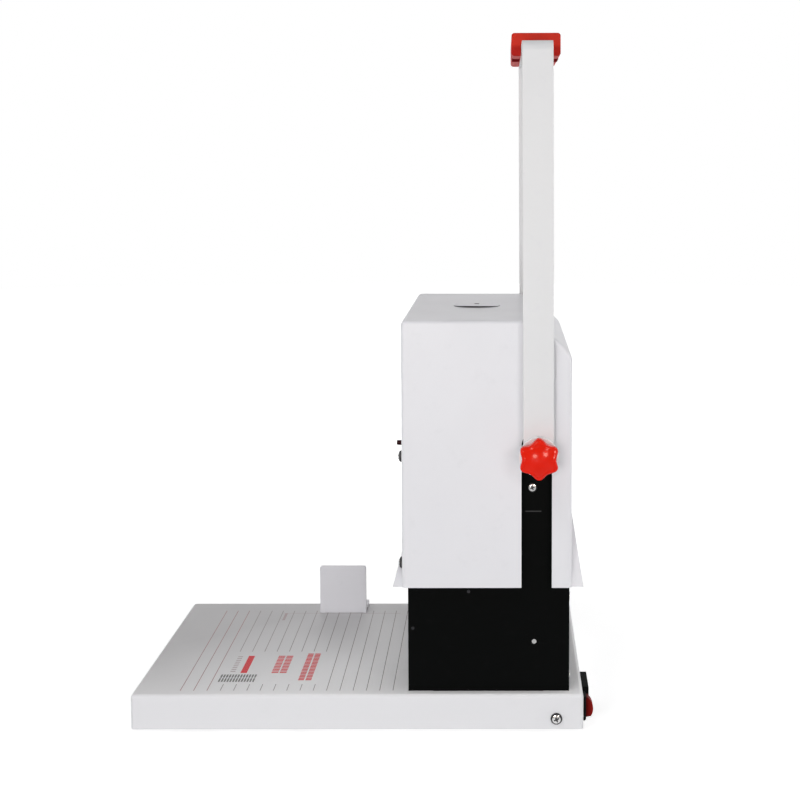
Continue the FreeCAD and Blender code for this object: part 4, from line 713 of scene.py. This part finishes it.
# Screw heads, with painted shade on their rims and in their recesses. Their inner sizes are shares of the
# head's radius and height.
SHANK_RADIUS = 0.5
RIM_HEIGHT = 0.30
CROWN_HEIGHT = 0.68
RIM_ANGLES = (15, 30, 44)
DOME_ANGLES = (44, 50, 56, 62, 68, 75, 82)
DOME_FIT = 0.995
RECESS_LENGTH = 0.98
RECESS_WIDTH = 0.24
RECESS_FLOOR = 0.5
RECESS_CORE = 0.27
CORE_TOP = 1.01
RECESS_LEAN = 0.45
FLAT_HEAD = 0.35
COVER_HEAD = 0.0037
FRAME_HEAD = 0.0028


def loose_boxes(node):
    """The lowest and highest corner of each separate solid of a node."""
    bm = bmesh.new()
    bm.from_mesh(nodes[node].data)
    bmesh.ops.remove_doubles(bm, verts=bm.verts, dist=WELD)
    left = set(bm.verts)
    boxes = []
    while left:
        stack = [left.pop()]
        group = []
        while stack:
            vert = stack.pop()
            group.append(vert.co.copy())
            for edge in vert.link_edges:
                other = edge.other_vert(vert)
                if other in left:
                    left.remove(other)
                    stack.append(other)
        boxes.append((Vector([min(point[k] for point in group) for k in range(3)]),
                      Vector([max(point[k] for point in group) for k in range(3)])))
    bm.free()
    return boxes


def head_arc(radius, height, angles):
    """Points of a domed head's outline at some angles above its rim."""
    points = []
    for turn in map(math.radians, angles):
        points.append((radius * math.cos(turn), height * (RIM_HEIGHT + CROWN_HEIGHT * math.sin(turn))))
    return points


def recess_shade(bm, seat, axis, turn, radius, height):
    """A dark cross with a round middle, sunk into the dome: painted shade in the screw's recess."""
    for along in (turn, axis.cross(turn)):
        bar(bm, seat, axis, along, radius * RECESS_LENGTH, radius * RECESS_WIDTH, height * RECESS_FLOOR,
            height)
    core = radius * RECESS_CORE
    lathe(bm, seat, axis, [(core, height * RECESS_FLOOR), (core, height * CORE_TOP)])


def screw_head(meshes, low, high, k, sign, height, plain):
    """One screw along axis k: a dark rim and a dark cross for its recess, both painted shade, round a
    bright dome, or a plain low head.
    """
    size = high - low
    axis = Vector([sign if n == k else 0.0 for n in range(3)])
    radius = min(size[n] for n in range(3) if n != k) / 2
    seat = (low + high) / 2
    seat[k] = (high[k] if sign > 0 else low[k]) - sign * height
    shank = radius * SHANK_RADIUS
    rim = [(shank, height - size[k]), (shank, 0.0), (radius, 0.0), (radius, RIM_HEIGHT * height)]
    rim += head_arc(radius, height, RIM_ANGLES)
    dome = head_arc(radius, height, DOME_ANGLES)
    if plain:
        lathe(meshes["plain"], seat, axis, [(r, h if h < 0 else h * FLAT_HEAD) for r, h in rim + dome[1:]])
        return
    lathe(meshes["rim"], seat, axis, rim)
    lathe(meshes["dome"], seat, axis, [(rim[-1][0] * DOME_FIT, height * RIM_HEIGHT)] + dome)
    turn = Vector([1.0 if n == (k + 1) % 3 else 0.0 for n in range(3)])
    turn = (turn + axis.cross(turn) * RECESS_LEAN).normalized()
    recess_shade(meshes["rim"], seat, axis, turn, radius, height)


def screw_heads(node, height, front_only=False, plain_axis=None):
    """Heads over each screw of a node, on the screw's outer end, or in front for those along Y."""
    meshes = {"rim": bmesh.new(), "dome": bmesh.new(), "plain": bmesh.new()}
    for low, high in loose_boxes(node):
        size = high - low
        k = max(range(3), key=lambda n: size[n])
        sign = 1.0 if low[k] + high[k] > 0 else -1.0
        if front_only and k == 1:
            sign = -1.0
        screw_head(meshes, low, high, k, sign, height, k == plain_axis)
    # The rim and the cross wear dark socket steel as painted shade; the dome is the plated steel
    for kind, slot in (("rim", "socket_steel"), ("dome", "zinc_steel"), ("plain", "zinc_steel")):
        if not meshes[kind].verts:
            meshes[kind].free()
            continue
        name = node + "_" + kind
        mesh = smooth_mesh(name, meshes[kind], SMOOTH_TURNED)
        piece = new_piece(name, mesh, slot, nodes[node]["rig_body"])
        if kind == "dome":
            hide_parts(node)


screw_heads("cover_screws", COVER_HEAD, front_only=True)
screw_heads("frame_screws", FRAME_HEAD, plain_axis=1)


# Small marks on the body: painted shade round the cap and under the grip, a painted highlight on the side
# plates, and the indicator lamp
CAP_RADIUS = 0.0247
# A dark bar in the cap's slot: painted shade
CAP_SLOT_SHADE = (0.0026, 0.0050)
SLOT_SHADE_STAND = 0.0004
# A dark ring round the cap: painted shade
SHADE_RING_WIDTH = 0.0020
SHADE_RING_HEIGHT = 0.0016
SHADE_RING_STAND = 0.0001
SHADE_RING_SHARPNESS = 1.5
# A raised line on each side plate, with a painted highlight
SEAM_HEIGHT = 0.221
SEAM_REACH = (0.162, 0.178)
SEAM_WIDTH = 0.0012
SEAM_DEPTH = (-0.0002, 0.00025)
# A dark band under the grip: painted shade
GRIP_SHADE_BAND = (0.002, 0.048)
BAND_WIDTH = 0.0080
BAND_INSET = 0.0008
BAND_DEPTH = (-0.0010, 0.00015)
LAMP_RADIUS = 0.0025

# The lamp's rounded end: a share of its radius, and how far behind its tip
LAMP_END = ((1.0, 0.0009), (0.93, 0.0004), (0.78, 0.0001), (0.4, 0.0))
LAMP_FOOT = ((0.9, 0.0), (1.0, 0.0002))


def cap_shade_ring():
    """Painted shade round the cap on the hood's top: a dark rubber ring, highest at its two sides, for the
    shadow under the cap's rim, and a dark bar for the shade in its slot.
    """
    low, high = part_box("top_cap")
    middle = (low + high) / 2
    seat = Vector((middle.x, middle.y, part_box("hood")[1].z))
    inside = CAP_RADIUS - SHADE_RING_WIDTH
    bm = bmesh.new()
    loops = []
    for radius, share in ((inside, 0.0), (CAP_RADIUS, 0.0), (CAP_RADIUS, 1.0), (inside, 1.0)):
        loop = []
        for point in ring_points(seat, UP, radius):
            height = SHADE_RING_HEIGHT * (abs(point.x - seat.x) / radius) ** SHADE_RING_SHARPNESS
            loop.append(bm.verts.new(point + UP * (SHADE_RING_STAND + share * height)))
        loops.append(loop)
    join_loops(bm, loops + loops[:1])
    bar(bm, seat, UP, ALONG_Y, CAP_SLOT_SHADE[1], CAP_SLOT_SHADE[0], 0.0, high.z - seat.z + SLOT_SHADE_STAND)
    new_piece("cap_shade_ring", smooth_mesh("cap_shade_ring", bm, SMOOTH_TRIM), "rubber", nodes["hood"]["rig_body"])


def plate_seam_highlights():
    """The faint raised line across each side plate, as it shows in the hood's slot. Its grey, lighter than
    the black plate, is a painted highlight.
    """
    bm = bmesh.new()
    for side, node in ((1, "side_plate_right"), (-1, "side_plate_left")):
        low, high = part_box(node)
        face = high.x if side > 0 else low.x
        middle = Vector((face, sum(SEAM_REACH) / 2, SEAM_HEIGHT))
        bar(bm, middle, ALONG_X * side, ALONG_Y, SEAM_REACH[1] - SEAM_REACH[0], SEAM_WIDTH, *SEAM_DEPTH)
    new_piece("plate_seam_highlights", smooth_mesh("plate_seam_highlights", bm, SMOOTH_TRIM), "black_steel",
              nodes["side_plate_right"]["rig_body"], finish="seam_grey")


def grip_shade_band():
    """A dark red band across the underside of the grip's walls, near its right end: painted shade in place
    of a recess.
    """
    low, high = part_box("grip")
    offset = BAND_WIDTH / 2 + BAND_INSET
    bm = bmesh.new()
    for y in (low.y + offset, high.y - offset):
        middle = Vector((sum(GRIP_SHADE_BAND) / 2, y, low.z))
        bar(bm, middle, -UP, ALONG_X, GRIP_SHADE_BAND[1] - GRIP_SHADE_BAND[0], BAND_WIDTH, *BAND_DEPTH)
    new_piece("grip_shade_band", smooth_mesh("grip_shade_band", bm, SMOOTH_TRIM), "switch_red",
              nodes["grip"]["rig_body"], finish="deep_red")


def indicator_lamp():
    """The indicator lamp: a short dark red cylinder with a rounded rim and a slightly domed end."""
    low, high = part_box("power_led")
    middle = (low + high) / 2
    length = high.y - low.y
    seat = Vector((middle.x, high.y, middle.z))
    profile = [(LAMP_RADIUS * share, height) for share, height in LAMP_FOOT]
    profile += [(LAMP_RADIUS * share, length - behind) for share, behind in LAMP_END]
    bm = bmesh.new()
    lathe(bm, seat, -ALONG_Y, profile)
    piece = new_piece("indicator_lamp", smooth_mesh("indicator_lamp", bm, SMOOTH_TRIM), "lamp_red",
                      nodes["power_led"]["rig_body"])
    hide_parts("power_led")


cap_shade_ring()
plate_seam_highlights()
grip_shade_band()
indicator_lamp()


# Lamps. Glints show in reflections alone, and the others only light.
MIDDLE = Vector((0.0, 0.05, 0.25))
WARM = (1.0, 0.88, 0.76)


def area_lamp(name, place, size, power, glint=False):
    """A lamp aimed at the machine's middle. A glint has a warm colour."""
    data = bpy.data.lights.new(name, "AREA")
    data.shape = "RECTANGLE"
    data.size, data.size_y = size
    data.energy = power
    data.color = WARM if glint else grey(1.0)
    lamp = bpy.data.objects.new(name, data)
    lamp.location = place
    lamp.rotation_mode = "QUATERNION"
    lamp.rotation_quaternion = (MIDDLE - Vector(place)).to_track_quat("-Z", "Y")
    lamp.visible_glossy = glint
    lamp.visible_diffuse = not glint
    scene.collection.objects.link(lamp)


area_lamp("fill_left", (1.80, -0.29, 0.50), (0.30, 0.30), 4.0)
area_lamp("fill_right", (1.70, 0.98, 0.66), (0.34, 0.34), 3.2)
area_lamp("glint_left", (1.80, -0.29, 0.56), (0.38, 0.26), 10.0, glint=True)
area_lamp("glint_right", (1.70, 0.98, 0.78), (0.46, 0.44), 14.5, glint=True)
area_lamp("top", (1.3, -0.6, 2.3), (1.6, 1.2), 13.3)
area_lamp("low", (2.2, -0.1, 0.12), (2.4, 0.24), 12.8)
area_lamp("front", (0.0, -2.5, 0.60), (1.6, 1.0), 8.5)
area_lamp("rear", (-0.2, 2.4, 0.95), (1.6, 1.0), 19.0)
area_lamp("far", (-2.5, 0.0, 0.60), (1.6, 1.0), 17.0)


# Backdrop and floor. In reflections both are dimmer on the camera's side.
AMBIENT = 0.23
ROOM_BEHIND_CAMERA = 0.12
ROOM_SPAN = (0.0, 0.8)
FLOOR_RADIUS = 6.0
FLOOR_SEGMENTS = 64
FLOOR_PAINT = 0.78
FLOOR_GLOW_NEAR = 0.62
FLOOR_GLOW_SPAN = (0.45, 1.6)
FLOOR_FRONT_SPAN = (0.15, 0.6)


def make_world():
    """Soft ambient light. The backdrop is white to the camera and in reflections."""
    world = bpy.data.worlds.new("world")
    scene.world = world
    tree = Nodes(world)
    direction = tree.axes(tree.add("TexCoord").outputs["Generated"])
    room = tree.span(direction["X"], 1.0, ROOM_BEHIND_CAMERA, *ROOM_SPAN)
    background = tree.add("Background")
    tree.put(background.inputs["Color"], grey(1.0))
    tree.put(background.inputs["Strength"], tree.span(tree.seen(room), AMBIENT, 1.0, 0.0, 1.0))
    tree.put(tree.add("OutputWorld").inputs["Surface"], background.outputs["Background"])


def floor_material():
    """White paint under a glow that reaches full white away from the object."""
    material = bpy.data.materials.new("floor_white")
    tree = Nodes(material)
    place = tree.add("TexCoord").outputs["Object"]
    distance = tree.add("VectorMath")
    distance.operation = "LENGTH"
    tree.put(distance.inputs[0], place)
    fade = tree.span(distance.outputs["Value"], FLOOR_GLOW_NEAR, 1.0, *FLOOR_GLOW_SPAN)
    front = tree.span(tree.axes(place)["X"], 1.0, ROOM_BEHIND_CAMERA, *FLOOR_FRONT_SPAN)
    paint = tree.add("BsdfDiffuse")
    tree.put(paint.inputs["Color"], grey(FLOOR_PAINT))
    glow = tree.add("Emission")
    tree.put(glow.inputs["Strength"], tree.combine("MULTIPLY", fade, tree.seen(front)))
    both = tree.add("AddShader")
    tree.put(both.inputs[0], paint.outputs["BSDF"])
    tree.put(both.inputs[1], glow.outputs["Emission"])
    tree.put(tree.add("OutputMaterial").inputs["Surface"], both.outputs["Shader"])
    return material


def make_floor():
    """White ground: it takes the object's shadow near it and fades to plain white around."""
    bm = bmesh.new()
    bmesh.ops.create_circle(bm, cap_ends=True, radius=FLOOR_RADIUS, segments=FLOOR_SEGMENTS)
    mesh = bpy.data.meshes.new("floor")
    bm.to_mesh(mesh)
    bm.free()
    mesh.materials.append(floor_material())
    floor = bpy.data.objects.new("floor", mesh)
    scene.collection.objects.link(floor)


make_world()
make_floor()
scene.view_settings.view_transform = "Standard"
